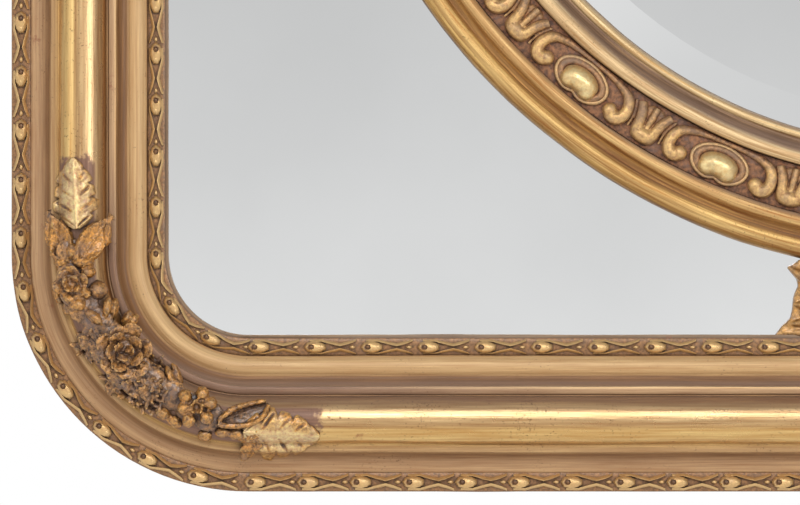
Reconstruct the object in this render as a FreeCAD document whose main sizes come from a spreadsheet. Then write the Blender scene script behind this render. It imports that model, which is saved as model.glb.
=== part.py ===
import FreeCAD, Part
import math
import os
from types import SimpleNamespace

import Sketcher

os.makedirs("parts", exist_ok=True)
doc = FreeCAD.newDocument("baroque_mirror")

# Driving sizes in millimetres
SIZES = {
    # whole mirror
    "overall_width": 800.0,
    "overall_height": 1000.0,
    "corner_radius": 102.0,
    "oval_gap": 26.0,
    # frame moulding, band by band from the outer edge inwards
    "edge_bead_width": 8.2,
    "cove_width": 9.1,
    "fillet_width": 3.5,
    "torus_width": 20.4,
    "ledge_width": 4.4,
    "hollow_width": 4.9,
    "ovolo_width": 7.9,
    "sight_bead_width": 7.6,
    "lip_width": 1.5,
    "side_height": 17.0,
    "bead_riser": 1.5,
    "cove_height": 9.5,
    "cove_depth": 2.4,
    "fillet_riser": 2.5,
    "ledge_step": 1.0,
    "torus_rise": 9.6,
    "hollow_riser": 1.5,
    "hollow_height": 5.0,
    "hollow_depth": 1.4,
    "ovolo_fall": 2.0,
    "ovolo_rise": 1.9,
    "lip_thickness": 5.0,
    "glass_lap": 8.0,
    "panel_ledge_width": 12.0,
    # beading strips
    "bead_side": 1.0,
    "edge_bead_rise": 3.5,
    "sight_bead_rise": 3.0,
    # oval moulding, band by band from the outer edge inwards
    "ring_bead_width": 9.5,
    "ring_hollow_width": 3.3,
    "ring_band_width": 5.9,
    "channel_width": 20.1,
    "inner_band_width": 6.8,
    "inner_hollow_width": 4.2,
    "inner_bead_width": 4.2,
    "ring_edge": 2.0,
    "ring_bead_climb": 3.0,
    "ring_bead_rise": 3.2,
    "ring_hollow_climb": 3.5,
    "ring_hollow_depth": 0.8,
    "ring_band_rise": 2.2,
    "channel_depth": 3.0,
    "channel_wall": 3.5,
    "inner_band_fall": 2.0,
    "inner_band_rise": 2.4,
    "inner_hollow_fall": 3.5,
    "inner_hollow_depth": 0.9,
    "inner_bead_fall": 2.5,
    "inner_bead_rise": 1.8,
    "pane_tongue": 6.5,
    "ring_step_width": 18.0,
    "oval_lap": 8.0,
    # cast ornament strip in the oval channel
    "strip_play": 0.3,
    "strip_side": 2.0,
    "strip_rise": 3.2,
    "cabochon_length": 17.4,
    "cabochon_width": 13.0,
    "cabochon_height": 6.0,
    "cabochon_sink": 1.5,
    # glass and boards
    "glass_front": 14.5,
    "pane_thickness": 4.0,
    "pane_joint": 1.0,
    "oval_glass_thickness": 5.0,
    "bevel_width": 21.0,
    "bevel_drop": 2.0,
    "panel_thickness": 4.0,
    "backboard_thickness": 5.0,
    "edge_play": 0.5,
    # dowels
    "frame_dowel_diameter": 8.0,
    "oval_dowel_diameter": 6.0,
    "dowel_length": 38.0,
    "dowel_end_play": 1.0,
    "dowel_play": 0.1,
    # screws
    "screw_shank_diameter": 3.5,
    "screw_head_diameter": 7.0,
    "screw_head_height": 1.6,
    "screw_length": 12.0,
    "screw_tip": 3.0,
    "screw_play": 0.08,
    # turn buttons
    "button_arm": 22.0,
    "button_width": 12.0,
    "button_thickness": 1.5,
    "button_play": 0.2,
    # keyhole hangers
    "hanger_dowel_gap": 6.0,
    "hanger_width": 46.0,
    "hanger_height": 26.0,
    "hanger_thickness": 2.0,
    "hanger_rise": 3.0,
    "keyhole_diameter": 10.0,
    "keyhole_slot_width": 4.6,
    "keyhole_slot_length": 9.0,
    "keyhole_pocket_width": 14.0,
    "keyhole_pocket_height": 24.0,
    "keyhole_pocket_depth": 10.0,
    "hanger_screw_inset": 6.0,
    # corner garlands
    "garland_tube_diameter": 18.0,
    "garland_lift": 5.0,
    "leaf_length": 24.0,
    "leaf_width": 15.0,
    "leaf_thickness": 8.0,
    "leaf_lift": 3.0,
    "rose_diameter": 27.0,
    "bloom_diameter": 20.0,
    "bud_diameter": 17.0,
    # bridge ornaments between the oval and the frame
    "bridge_width": 142.8,
    "bridge_thickness": 9.0,
}

# The oval's two radii meet at this angle from its long axis
OVAL_JOIN_ANGLE = 60.0
JOIN_SIN = math.sin(math.radians(OVAL_JOIN_ANGLE))
JOIN_COS = math.cos(math.radians(OVAL_JOIN_ANGLE))

sheet = doc.addObject("Spreadsheet::Sheet", "sizes")
for row, (alias, number) in enumerate(SIZES.items(), start=1):
    sheet.set(f"A{row}", alias)
    sheet.set(f"B{row}", str(number))
    sheet.setAlias(f"B{row}", alias)
doc.recompute()


class Size:
    """A length: its number now, and the expression that gives it from the sheet."""

    def __init__(self, value, text):
        self.value = value
        self.text = text

    def __add__(self, other):
        other = size_of(other)
        return Size(self.value + other.value, f"({self.text} + {other.text})")

    def __sub__(self, other):
        other = size_of(other)
        return Size(self.value - other.value, f"({self.text} - {other.text})")

    def __mul__(self, other):
        other = size_of(other)
        return Size(self.value * other.value, f"({self.text} * {other.text})")

    def __truediv__(self, other):
        other = size_of(other)
        return Size(self.value / other.value, f"({self.text} / {other.text})")

    def __neg__(self):
        return Size(-self.value, f"(-1 * {self.text})")


def size_of(number):
    """A plain number as a size."""
    if isinstance(number, Size):
        return number
    return Size(float(number), f"({float(number):.12f})")


S = SimpleNamespace(**{alias: Size(number, f"sizes.{alias}") for alias, number in SIZES.items()})
ZERO = size_of(0)

# Sizes that follow from the driving ones; heights run from the wall towards the viewer
rail_width = (S.edge_bead_width + S.cove_width + S.fillet_width + S.torus_width + S.ledge_width
              + S.hollow_width + S.ovolo_width + S.sight_bead_width + S.lip_width)
rail_rabbet = rail_width - S.glass_lap
rail_back = rail_rabbet - S.panel_ledge_width
half_width = S.overall_width / 2
half_height = S.overall_height / 2
# The keyholes' line on the wall is the origin, so the mirror's middle lies below it
centre_z = rail_back / 2 - half_height
pane_back = S.glass_front - S.pane_thickness
panel_back = pane_back - S.panel_thickness
lip_height = S.glass_front + S.lip_thickness

# The oval's outline: a half-width, a half-height, and the radii of its end and side arcs
oval_a = half_width - rail_width - S.oval_gap
oval_b = half_height - rail_width - S.oval_gap
oval_k = (1 - JOIN_SIN) / JOIN_COS
end_radius = (oval_a - oval_b * oval_k) / (JOIN_SIN - oval_k * (1 - JOIN_COS))
side_radius = (oval_b - end_radius * (1 - JOIN_COS)) / JOIN_COS
ring_width = (S.ring_bead_width + S.ring_hollow_width + S.ring_band_width + S.channel_width
              + S.inner_band_width + S.inner_hollow_width + S.inner_bead_width)
ring_rabbet = ring_width - S.oval_lap
ring_step = S.pane_tongue + S.ring_step_width
backboard_front = S.glass_front - S.oval_glass_thickness
ring_back = backboard_front - S.backboard_thickness
channel_start = S.ring_bead_width + S.ring_hollow_width + S.ring_band_width
ring_crown = S.glass_front + S.ring_edge + S.ring_bead_climb + S.ring_hollow_climb
channel_floor = ring_crown - S.channel_depth


def bind(obj, **sizes):
    """Tie an object's properties to the sheet."""
    for name, size in sizes.items():
        obj.setExpression(name, size.text)


def place(obj, x, y, z, rotation=FreeCAD.Rotation()):
    """Put an object at a place that follows the sheet."""
    x, y, z = size_of(x), size_of(y), size_of(z)
    obj.Placement = FreeCAD.Placement(FreeCAD.Vector(x.value, y.value, z.value), rotation)
    for axis, size in (("x", x), ("y", y), ("z", z)):
        obj.setExpression(f"Placement.Base.{axis}", size.text)


def new_body(label):
    """An empty body."""
    body = doc.addObject("PartDesign::Body", label)
    body.Label = label
    return body


def new_sketch(body, name, role="XY_Plane", offset=ZERO):
    """A sketch on one of the body's own planes, moved along the plane's normal."""
    sketch = body.newObject("Sketcher::SketchObject", f"{body.Name}_{name}")
    plane = [item for item in body.Origin.OriginFeatures if item.Role == role][0]
    sketch.AttachmentSupport = [(plane, "")]
    sketch.MapMode = "FlatFace"
    sketch.setExpression("AttachmentOffset.Base.z", offset.text)
    return sketch


def draw(sketch, outline):
    """Draw a closed outline of corners (x, y), where (x, y, rise, side) bows the next side."""
    geometry = []
    ends = []
    radii = []
    for index, corner in enumerate(outline):
        following = outline[(index + 1) % len(outline)]
        start = FreeCAD.Vector(corner[0].value, corner[1].value, 0)
        end = FreeCAD.Vector(following[0].value, following[1].value, 0)
        if len(corner) == 2:
            geometry.append(Part.LineSegment(start, end))
            ends.append((1, 2))
            continue
        rise, side = corner[2], corner[3]
        across = following[0] - corner[0]
        along = following[1] - corner[1]
        radius = (across * across + along * along) / (rise * 8) + rise / 2
        left = FreeCAD.Vector(-along.value, across.value, 0).normalize()
        bow = left if side == "left" else left.negative()
        centre = (start + end) / 2 + bow * (rise.value - radius.value)
        first, last = (end, start) if side == "left" else (start, end)
        first_angle = math.atan2(first.y - centre.y, first.x - centre.x)
        last_angle = math.atan2(last.y - centre.y, last.x - centre.x)
        if last_angle <= first_angle:
            last_angle += 2 * math.pi
        circle = Part.Circle(centre, FreeCAD.Vector(0, 0, 1), radius.value)
        geometry.append(Part.ArcOfCircle(circle, first_angle, last_angle))
        ends.append((2, 1) if side == "left" else (1, 2))
        radii.append((index, radius))
    base = sketch.GeometryCount
    sketch.addGeometry(geometry, False)
    for index in range(len(outline)):
        following = (index + 1) % len(outline)
        sketch.addConstraint(Sketcher.Constraint("Coincident", base + index, ends[index][1],
                                                 base + following, ends[following][0]))
    for index, corner in enumerate(outline):
        for kind, size, axis in (("DistanceX", corner[0], -2), ("DistanceY", corner[1], -1)):
            if abs(size.value) < 1e-9:
                sketch.addConstraint(Sketcher.Constraint("PointOnObject", base + index,
                                                         ends[index][0], axis))
                continue
            number = sketch.addConstraint(Sketcher.Constraint(kind, -1, 1, base + index,
                                                              ends[index][0], size.value))
            sketch.setExpression(f"Constraints[{number}]", size.text)
    for index, radius in radii:
        number = sketch.addConstraint(Sketcher.Constraint("Radius", base + index, radius.value))
        sketch.setExpression(f"Constraints[{number}]", radius.text)


def draw_circle(sketch, x, y, radius):
    """Draw a circle at a place in a sketch."""
    circle = Part.Circle(FreeCAD.Vector(x.value, y.value, 0), FreeCAD.Vector(0, 0, 1), radius.value)
    index = sketch.addGeometry(circle, False)
    for kind, size, axis in (("DistanceX", x, -2), ("DistanceY", y, -1)):
        if abs(size.value) < 1e-9:
            sketch.addConstraint(Sketcher.Constraint("PointOnObject", index, 3, axis))
            continue
        number = sketch.addConstraint(Sketcher.Constraint(kind, -1, 1, index, 3, size.value))
        sketch.setExpression(f"Constraints[{number}]", size.text)
    number = sketch.addConstraint(Sketcher.Constraint("Radius", index, radius.value))
    sketch.setExpression(f"Constraints[{number}]", radius.text)


def pad(body, sketch, length):
    """Extrude a sketch along its normal."""
    feature = body.newObject("PartDesign::Pad", f"{sketch.Name}_pad")
    feature.Profile = sketch
    bind(feature, Length=length)
    return feature


def revolve(body, sketch, angle, midplane=False):
    """Turn a sketch about its own upright axis."""
    feature = body.newObject("PartDesign::Revolution", f"{sketch.Name}_turn")
    feature.Profile = sketch
    feature.ReferenceAxis = (sketch, ["V_Axis"])
    feature.Angle = angle
    feature.Midplane = midplane
    return feature


def boolean(kind, label, base, tool):
    """A cut or a common of two objects."""
    feature = doc.addObject(f"Part::{kind}", label)
    feature.Label = label
    feature.Base = base
    feature.Tool = tool
    return feature


def fuse(label, shapes):
    """Several objects as one solid."""
    feature = doc.addObject("Part::MultiFuse", label)
    feature.Label = label
    feature.Shapes = shapes
    return feature


def group(label, members):
    """Several objects side by side."""
    feature = doc.addObject("Part::Compound", label)
    feature.Label = label
    feature.Links = members
    return feature


def copies(label, source, spots):
    """A group of separate solids, each the source's shape at one of the spots."""
    solids = []
    for x, y, z, rotation in spots:
        solid = source.Shape.copy()
        solid.Placement = FreeCAD.Placement(FreeCAD.Vector(x.value, y.value, z.value), rotation)
        solids.append(solid)
    feature = doc.addObject("Part::Feature", label)
    feature.Label = label
    feature.Shape = Part.makeCompound(solids)
    return feature


def rods(label, spots, diameter, length):
    """A group of cylinders, each from its spot along its own axis."""
    members = []
    for index, (x, y, z, rotation) in enumerate(spots):
        rod = doc.addObject("Part::Cylinder", f"{label}_{index}")
        bind(rod, Radius=diameter / 2, Height=length)
        place(rod, x, y, z, rotation)
        members.append(rod)
    return group(label, members)


# Each side's frame stands at the corner that its moulding starts from: x outwards, y to the viewer
TOWARDS_VIEWER = FreeCAD.Rotation(FreeCAD.Vector(1, 0, 0), 90)
STAND_UP = FreeCAD.Rotation(FreeCAD.Vector(0, 0, 1), 180)
SIDES = {
    "left": (-1, -1, 0.0, S.overall_height),
    "bottom": (1, -1, -90.0, S.overall_width),
    "right": (1, 1, 180.0, S.overall_height),
    "top": (-1, 1, 90.0, S.overall_width),
}
CORNER_OF_SIDE = {
    "left": "bottom_left",
    "bottom": "bottom_right",
    "right": "top_right",
    "top": "top_left",
}


def side_frame(side):
    """The place, the turn and the straight length of one side of the frame."""
    right, up, turn, length = SIDES[side]
    x = (half_width - S.corner_radius) * right
    z = centre_z + (half_height - S.corner_radius) * up
    rotation = FreeCAD.Rotation(FreeCAD.Vector(0, 1, 0), turn).multiply(STAND_UP)
    return x, z, rotation, length - S.corner_radius * 2


def frame_outline():
    """The frame moulding's section, outwards from the corner's centre and up from the wall."""
    cove_start = S.edge_bead_width
    cove_end = cove_start + S.cove_width
    torus_start = cove_end + S.fillet_width
    torus_end = torus_start + S.torus_width
    ledge_end = torus_end + S.ledge_width
    hollow_end = ledge_end + S.hollow_width
    ovolo_end = hollow_end + S.ovolo_width
    cove_foot = S.side_height + S.bead_riser
    cove_top = cove_foot + S.cove_height
    fillet_top = cove_top + S.fillet_riser
    ledge_top = fillet_top + S.ledge_step
    hollow_top = ledge_top - S.hollow_riser
    hollow_foot = hollow_top - S.hollow_height
    ovolo_foot = hollow_foot - S.ovolo_fall
    section = [
        (ZERO, ZERO),
        (ZERO, S.side_height),
        (cove_start, S.side_height),
        (cove_start, cove_foot, S.cove_depth, "left"),
        (cove_end, cove_top),
        (cove_end, fillet_top),
        (torus_start, fillet_top, S.torus_rise, "right"),
        (torus_end, ledge_top),
        (ledge_end, ledge_top),
        (ledge_end, hollow_top, S.hollow_depth, "left"),
        (hollow_end, hollow_foot, S.ovolo_rise, "right"),
        (ovolo_end, ovolo_foot),
        (ovolo_end, lip_height),
        (rail_width, lip_height),
        (rail_width, S.glass_front),
        (rail_rabbet, S.glass_front),
        (rail_rabbet, pane_back),
        (rail_back, pane_back),
        (rail_back, ZERO),
    ]
    return [(S.corner_radius - corner[0],) + corner[1:] for corner in section]


def bead_outline(start, width, seat, rise):
    """A half-round beading strip's section on its seat in the frame moulding."""
    outer = S.corner_radius - start
    inner = outer - width
    return [
        (outer, seat),
        (outer, seat + S.bead_side, rise, "right"),
        (inner, seat + S.bead_side),
        (inner, seat),
    ]


# Rails, rounded corners and their beading strips
nodes = {}
blanks = {}
sight_start = rail_width - S.lip_width - S.sight_bead_width
for side, corner in CORNER_OF_SIDE.items():
    x, z, rotation, straight = side_frame(side)

    rail = new_body(f"rail_{side}_blank")
    section = new_sketch(rail, "section")
    draw(section, frame_outline())
    pad(rail, section, straight)
    place(rail, x, ZERO, z, rotation)
    blanks[f"rail_{side}"] = rail

    bend = new_body(f"corner_{corner}_blank")
    section = new_sketch(bend, "section")
    draw(section, frame_outline())
    revolve(bend, section, 90.0)
    place(bend, x, ZERO, z, rotation)
    blanks[f"corner_{corner}"] = bend

    strips = {
        "edge": bead_outline(ZERO, S.edge_bead_width, S.side_height, S.edge_bead_rise),
        "sight": bead_outline(sight_start, S.sight_bead_width, lip_height, S.sight_bead_rise),
    }
    for kind, outline in strips.items():
        strip = new_body(f"{kind}_beading_{side}")
        section = new_sketch(strip, "section")
        draw(section, outline)
        pad(strip, section, straight)
        revolve(strip, section, 90.0)
        place(strip, x, ZERO, z, rotation)
        nodes[strip.Label] = strip
doc.recompute()

# Dowels across the eight joints between rails and corners
FRAME_DOWEL_SHARES = ((0.21, 0.22), (0.52, 0.40))
frame_crown = S.side_height + S.bead_riser + S.cove_height + S.fillet_riser + S.torus_rise
hole_diameter = S.frame_dowel_diameter + S.dowel_play * 2
hole_length = S.dowel_length + S.dowel_end_play * 2
dowel_spots = []
dowel_hole_spots = []
for side in SIDES:
    x, z, rotation, straight = side_frame(side)
    along = rotation.multVec(FreeCAD.Vector(0, 0, 1))
    outwards = rotation.multVec(FreeCAD.Vector(1, 0, 0))
    for width_share, height_share in FRAME_DOWEL_SHARES:
        reach = S.corner_radius - rail_width * width_share
        for joint in (ZERO, straight):
            for spots, length in ((dowel_spots, S.dowel_length), (dowel_hole_spots, hole_length)):
                start = joint - length / 2
                spots.append((x + reach * round(outwards.x) + start * round(along.x),
                              -(frame_crown * height_share),
                              z + reach * round(outwards.z) + start * round(along.z), rotation))
nodes["frame_dowels"] = rods("frame_dowels", dowel_spots, S.frame_dowel_diameter, S.dowel_length)
dowel_holes = rods("frame_dowel_holes", dowel_hole_spots, hole_diameter, hole_length)

# Oval arcs: each is a quarter of the ring, turned about its own centre
ARCS = {
    "bottom": (0, -1, end_radius, oval_b, OVAL_JOIN_ANGLE),
    "top": (0, 1, end_radius, oval_b, OVAL_JOIN_ANGLE),
    "left": (-1, 0, side_radius, oval_a, 90.0 - OVAL_JOIN_ANGLE),
    "right": (1, 0, side_radius, oval_a, 90.0 - OVAL_JOIN_ANGLE),
}


def arc_frame(arc):
    """The centre and the turn of one arc: x outwards, y towards the viewer."""
    right, up, radius, reach, half_angle = ARCS[arc]
    x = (reach - radius) * right
    z = centre_z + (reach - radius) * up
    outwards = FreeCAD.Vector(right, 0, up)
    viewer = FreeCAD.Vector(0, -1, 0)
    return x, z, FreeCAD.Rotation(outwards, viewer, outwards.cross(viewer), "XYZ")


def oval_spot(arc, angle, inset):
    """A place on the oval, by the angle along its arc and the distance in from its edge."""
    right, up, radius, reach, half_angle = ARCS[arc]
    x, z, rotation = arc_frame(arc)
    turned = math.radians(angle)
    outwards = FreeCAD.Vector(right, 0, up)
    sideways = FreeCAD.Vector(abs(up), 0, abs(right))
    direction = outwards * math.cos(turned) + sideways * math.sin(turned)
    return x + (radius - inset) * direction.x, z + (radius - inset) * direction.z, direction


def ring_outline(radius):
    """The oval moulding's section, outwards from the arc's centre and up from the wall."""
    bead_end = S.ring_bead_width
    hollow_end = bead_end + S.ring_hollow_width
    channel_end = channel_start + S.channel_width
    band_end = channel_end + S.inner_band_width
    inner_hollow_end = band_end + S.inner_hollow_width
    edge_top = S.glass_front + S.ring_edge
    bead_top = edge_top + S.ring_bead_climb
    wall_top = channel_floor + S.channel_wall
    band_foot = wall_top - S.inner_band_fall
    hollow_foot = band_foot - S.inner_hollow_fall
    bead_foot = hollow_foot - S.inner_bead_fall
    ceiling = (S.glass_front - S.bevel_drop + S.bevel_drop * (S.oval_lap - S.edge_play) / S.bevel_width
               + S.button_play)
    section = [
        (ZERO, S.glass_front),
        (ZERO, edge_top, S.ring_bead_rise, "right"),
        (bead_end, bead_top, S.ring_hollow_depth, "left"),
        (hollow_end, ring_crown, S.ring_band_rise, "right"),
        (channel_start, ring_crown),
        (channel_start, channel_floor),
        (channel_end, channel_floor),
        (channel_end, wall_top, S.inner_band_rise, "right"),
        (band_end, band_foot, S.inner_hollow_depth, "left"),
        (inner_hollow_end, hollow_foot, S.inner_bead_rise, "right"),
        (ring_width, bead_foot),
        (ring_width, ceiling),
        (ring_rabbet, ceiling),
        (ring_rabbet, ring_back),
        (ring_step, ring_back),
        (ring_step, pane_back),
        (S.pane_tongue, pane_back),
        (S.pane_tongue, S.glass_front),
    ]
    return [(radius - corner[0],) + corner[1:] for corner in section]


def strip_outline(radius):
    """The cast ornament strip's section on the floor of the oval channel."""
    outer = radius - channel_start - S.strip_play
    inner = radius - channel_start - S.channel_width + S.strip_play
    return [
        (outer, channel_floor),
        (outer, channel_floor + S.strip_side, S.strip_rise, "right"),
        (inner, channel_floor + S.strip_side),
        (inner, channel_floor),
    ]


# Ornament strips carry cabochons at these shares of each arc's half-angle
CABOCHON_END_SHARES = (-0.937, -0.662, -0.387, -0.128, 0.128, 0.387, 0.662, 0.937)
CABOCHON_SIDE_SHARES = (-0.8, -0.533, -0.267, 0.0, 0.267, 0.533, 0.8)
strip_crown = channel_floor + S.strip_side + S.strip_rise
for arc, (right, up, radius, reach, half_angle) in ARCS.items():
    x, z, rotation = arc_frame(arc)
    ring = new_body(f"oval_arc_{arc}_blank")
    section = new_sketch(ring, "section")
    draw(section, ring_outline(radius))
    revolve(ring, section, half_angle * 2, True)
    place(ring, x, ZERO, z, rotation)
    blanks[f"oval_arc_{arc}"] = ring

    strip = new_body(f"oval_ornament_{arc}_strip")
    section = new_sketch(strip, "section")
    draw(section, strip_outline(radius))
    revolve(strip, section, half_angle * 2, True)
    place(strip, x, ZERO, z, rotation)

    members = [strip]
    shares = CABOCHON_END_SHARES if up else CABOCHON_SIDE_SHARES
    for index, share in enumerate(shares):
        spot_x, spot_z, direction = oval_spot(arc, half_angle * share,
                                              channel_start + S.channel_width / 2)
        dome = doc.addObject("Part::Ellipsoid", f"cabochon_{arc}_{index}")
        bind(dome, Radius1=S.cabochon_height, Radius2=S.cabochon_width / 2,
             Radius3=S.cabochon_length / 2)
        dome.Angle1 = 0
        viewer = FreeCAD.Vector(0, -1, 0)
        turn = FreeCAD.Rotation(direction, viewer.cross(direction), viewer, "ZXY")
        place(dome, spot_x, -(strip_crown - S.cabochon_sink), spot_z, turn)
        members.append(dome)
    nodes[f"oval_ornament_{arc}"] = fuse(f"oval_ornament_{arc}", members)

# Dowels across the four joints of the oval
OVAL_DOWEL_SHARES = ((0.28, 0.74), (0.66, 0.52))
oval_dowel_spots = []
oval_dowel_hole_spots = []
for right, up in ((-1, -1), (1, -1), (-1, 1), (1, 1)):
    arc = "bottom" if up < 0 else "top"
    for width_share, height_share in OVAL_DOWEL_SHARES:
        x, z, direction = oval_spot(arc, OVAL_JOIN_ANGLE * right, ring_width * width_share)
        along = direction.cross(FreeCAD.Vector(0, 1, 0))
        turn = FreeCAD.Rotation(FreeCAD.Vector(0, 0, 1), along)
        for spots, length in ((oval_dowel_spots, S.dowel_length), (oval_dowel_hole_spots, hole_length)):
            spots.append((x - length * (along.x / 2), -(channel_floor * height_share),
                          z - length * (along.z / 2), turn))
nodes["oval_dowels"] = rods("oval_dowels", oval_dowel_spots, S.oval_dowel_diameter, S.dowel_length)
oval_dowel_holes = rods("oval_dowel_holes", oval_dowel_hole_spots,
                        S.oval_dowel_diameter + S.dowel_play * 2, hole_length)


def oval_outline(inset):
    """The oval's outline, a distance in from its outer edge."""
    end = end_radius - inset
    side = side_radius - inset
    x = end * JOIN_SIN
    z = oval_b - end_radius + end * JOIN_COS
    end_rise = end * (1 - JOIN_COS)
    side_rise = side * (1 - JOIN_SIN)
    return [
        (-x, -z, end_rise, "right"),
        (x, -z, side_rise, "right"),
        (x, z, end_rise, "right"),
        (-x, z, side_rise, "right"),
    ]


def sheet_outline(inset):
    """The outline of a board inside the frame, a distance in from the frame's outer edge."""
    x = half_width - inset
    z = half_height - inset
    radius = S.corner_radius - inset
    rise = radius * (1 - math.sqrt(0.5))
    return [
        (-x + radius, -z),
        (x - radius, -z, rise, "right"),
        (x, -z + radius),
        (x, z - radius, rise, "right"),
        (x - radius, z),
        (-x + radius, z, rise, "right"),
        (-x, z - radius),
        (-x, -z + radius, rise, "right"),
    ]


def plate(label, outline, back, thickness):
    """A flat plate from its back to its front, centred on the mirror."""
    body = new_body(label)
    sketch = new_sketch(body, "outline", "XZ_Plane", back)
    draw(sketch, outline)
    pad(body, sketch, thickness)
    place(body, ZERO, ZERO, centre_z)
    return body


# Bevelled oval glass and the board behind it
oval_edge = ring_rabbet + S.edge_play
rim = S.oval_glass_thickness - S.bevel_drop
glass = plate("oval_mirror", oval_outline(oval_edge), backboard_front, rim)
bevel_foot = new_sketch(glass, "bevel_foot", "XZ_Plane", backboard_front + rim)
draw(bevel_foot, oval_outline(oval_edge))
bevel_top = new_sketch(glass, "bevel_top", "XZ_Plane", S.glass_front)
draw(bevel_top, oval_outline(oval_edge + S.bevel_width))
bevel = glass.newObject("PartDesign::AdditiveLoft", "oval_mirror_bevel")
bevel.Profile = bevel_foot
bevel.Sections = [bevel_top]
bevel.Ruled = True
nodes["oval_mirror"] = glass
nodes["oval_backboard"] = plate("oval_backboard", oval_outline(oval_edge), ring_back,
                                S.backboard_thickness)

# Four mirror panes around the oval, parted on the mirror's centre lines
pane_sheet = plate("pane_sheet", sheet_outline(rail_rabbet + S.edge_play), pane_back, S.pane_thickness)
pane_hole = plate("pane_hole", oval_outline(S.pane_tongue - S.edge_play), pane_back, S.pane_thickness)
pane_ring = boolean("Cut", "pane_ring", pane_sheet, pane_hole)
QUARTERS = {
    "bottom_left": (-1, -1),
    "bottom_right": (1, -1),
    "top_left": (-1, 1),
    "top_right": (1, 1),
}
for quarter, (right, up) in QUARTERS.items():
    box = doc.addObject("Part::Box", f"pane_{quarter}_quarter")
    bind(box, Length=half_width - S.pane_joint / 2, Width=S.glass_front,
         Height=half_height - S.pane_joint / 2)
    place(box, S.pane_joint / 2 if right > 0 else -half_width, -S.glass_front,
          centre_z + S.pane_joint / 2 if up > 0 else centre_z - half_height)
    nodes[f"mirror_pane_{quarter}"] = boolean("Common", f"mirror_pane_{quarter}", pane_ring, box)

# Screws: one pan-headed pattern, its head from the origin backwards and its shank forwards
screw = new_body("pan_screw")
screw_section = new_sketch(screw, "section")
shank = S.screw_shank_diameter / 2
head = S.screw_head_diameter / 2
draw(screw_section, [
    (ZERO, -S.screw_head_height),
    (head * 0.8, -S.screw_head_height),
    (head, -S.screw_head_height * 0.5),
    (head, ZERO),
    (shank, ZERO),
    (shank, S.screw_length - S.screw_tip),
    (ZERO, S.screw_length),
])
revolve(screw, screw_section, 360.0)
FORWARDS = FreeCAD.Rotation(FreeCAD.Vector(1, 0, 0), 180)

# Screws through the back panel into the rails, and into the oval
RAIL_SCREW_SHARES = {
    "left": (-0.375, -0.125, 0.125, 0.375),
    "bottom": (-0.35, 0.0, 0.35),
    "right": (-0.375, -0.125, 0.125, 0.375),
    "top": (-0.35, 0.0, 0.35),
}
OVAL_SCREW_END_SHARES = (-0.75, -0.25, 0.25, 0.75)
OVAL_SCREW_SIDE_SHARES = (-0.6, 0.0, 0.6)
screw_hole = S.screw_shank_diameter + S.screw_play * 2
screw_hole_length = S.screw_length + S.dowel_end_play * 2


def screw_group(label, spots, seat):
    """Screws with their heads on a seat, and the holes that they need."""
    doc.recompute()
    screws = [(x, -seat, z, FORWARDS) for x, z in spots]
    holes = [(x, -seat + S.dowel_end_play, z, TOWARDS_VIEWER) for x, z in spots]
    nodes[label] = copies(label, screw, screws)
    return rods(f"{label}_holes", holes, screw_hole, screw_hole_length)


rail_screw_spots = []
for side, shares in RAIL_SCREW_SHARES.items():
    x, z, rotation, straight = side_frame(side)
    along = rotation.multVec(FreeCAD.Vector(0, 0, 1))
    outwards = rotation.multVec(FreeCAD.Vector(1, 0, 0))
    reach = S.corner_radius - rail_back - S.panel_ledge_width / 2
    for share in shares:
        step = straight * (0.5 + share)
        rail_screw_spots.append((x + reach * round(outwards.x) + step * round(along.x),
                                 z + reach * round(outwards.z) + step * round(along.z)))
oval_screw_spots = []
button_spots = []
BUTTON_END_SHARES = (-0.58, 0.58)
BUTTON_SIDE_SHARES = (-0.36, 0.36)
for arc, (right, up, radius, reach, half_angle) in ARCS.items():
    for share in OVAL_SCREW_END_SHARES if up else OVAL_SCREW_SIDE_SHARES:
        x, z, direction = oval_spot(arc, half_angle * share, S.pane_tongue + S.ring_step_width / 2)
        oval_screw_spots.append((x, z))
    for share in BUTTON_END_SHARES if up else BUTTON_SIDE_SHARES:
        x, z, direction = oval_spot(arc, half_angle * share, (ring_step + ring_rabbet) / 2)
        button_spots.append((x, z, direction))
rail_screw_holes = screw_group("back_panel_screws", rail_screw_spots, panel_back)
oval_screw_holes = screw_group("oval_screws", oval_screw_spots, panel_back)

# Turn buttons that hold the oval board, each on its own screw
button_front = ring_back - S.button_play
button_back = button_front - S.button_thickness
for index, (x, z, direction) in enumerate(button_spots, start=1):
    button = new_body(f"turn_button_{index}")
    sketch = new_sketch(button, "outline")
    side = S.button_width / 2
    end_rise = side * 0.9
    draw(sketch, [
        (ZERO, -side),
        (S.button_arm, -side, end_rise, "right"),
        (S.button_arm, side),
        (ZERO, side, end_rise, "right"),
    ])
    draw_circle(sketch, ZERO, ZERO, screw_hole / 2)
    pad(button, sketch, S.button_thickness)
    inwards = direction.negative()
    viewer = FreeCAD.Vector(0, -1, 0)
    place(button, x, -button_back, z,
          FreeCAD.Rotation(inwards, viewer.cross(inwards), viewer, "ZXY"))
    nodes[button.Label] = button
pivot_holes = screw_group("turn_button_screws", [(x, z) for x, z, direction in button_spots],
                          button_back - S.button_play)

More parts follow.
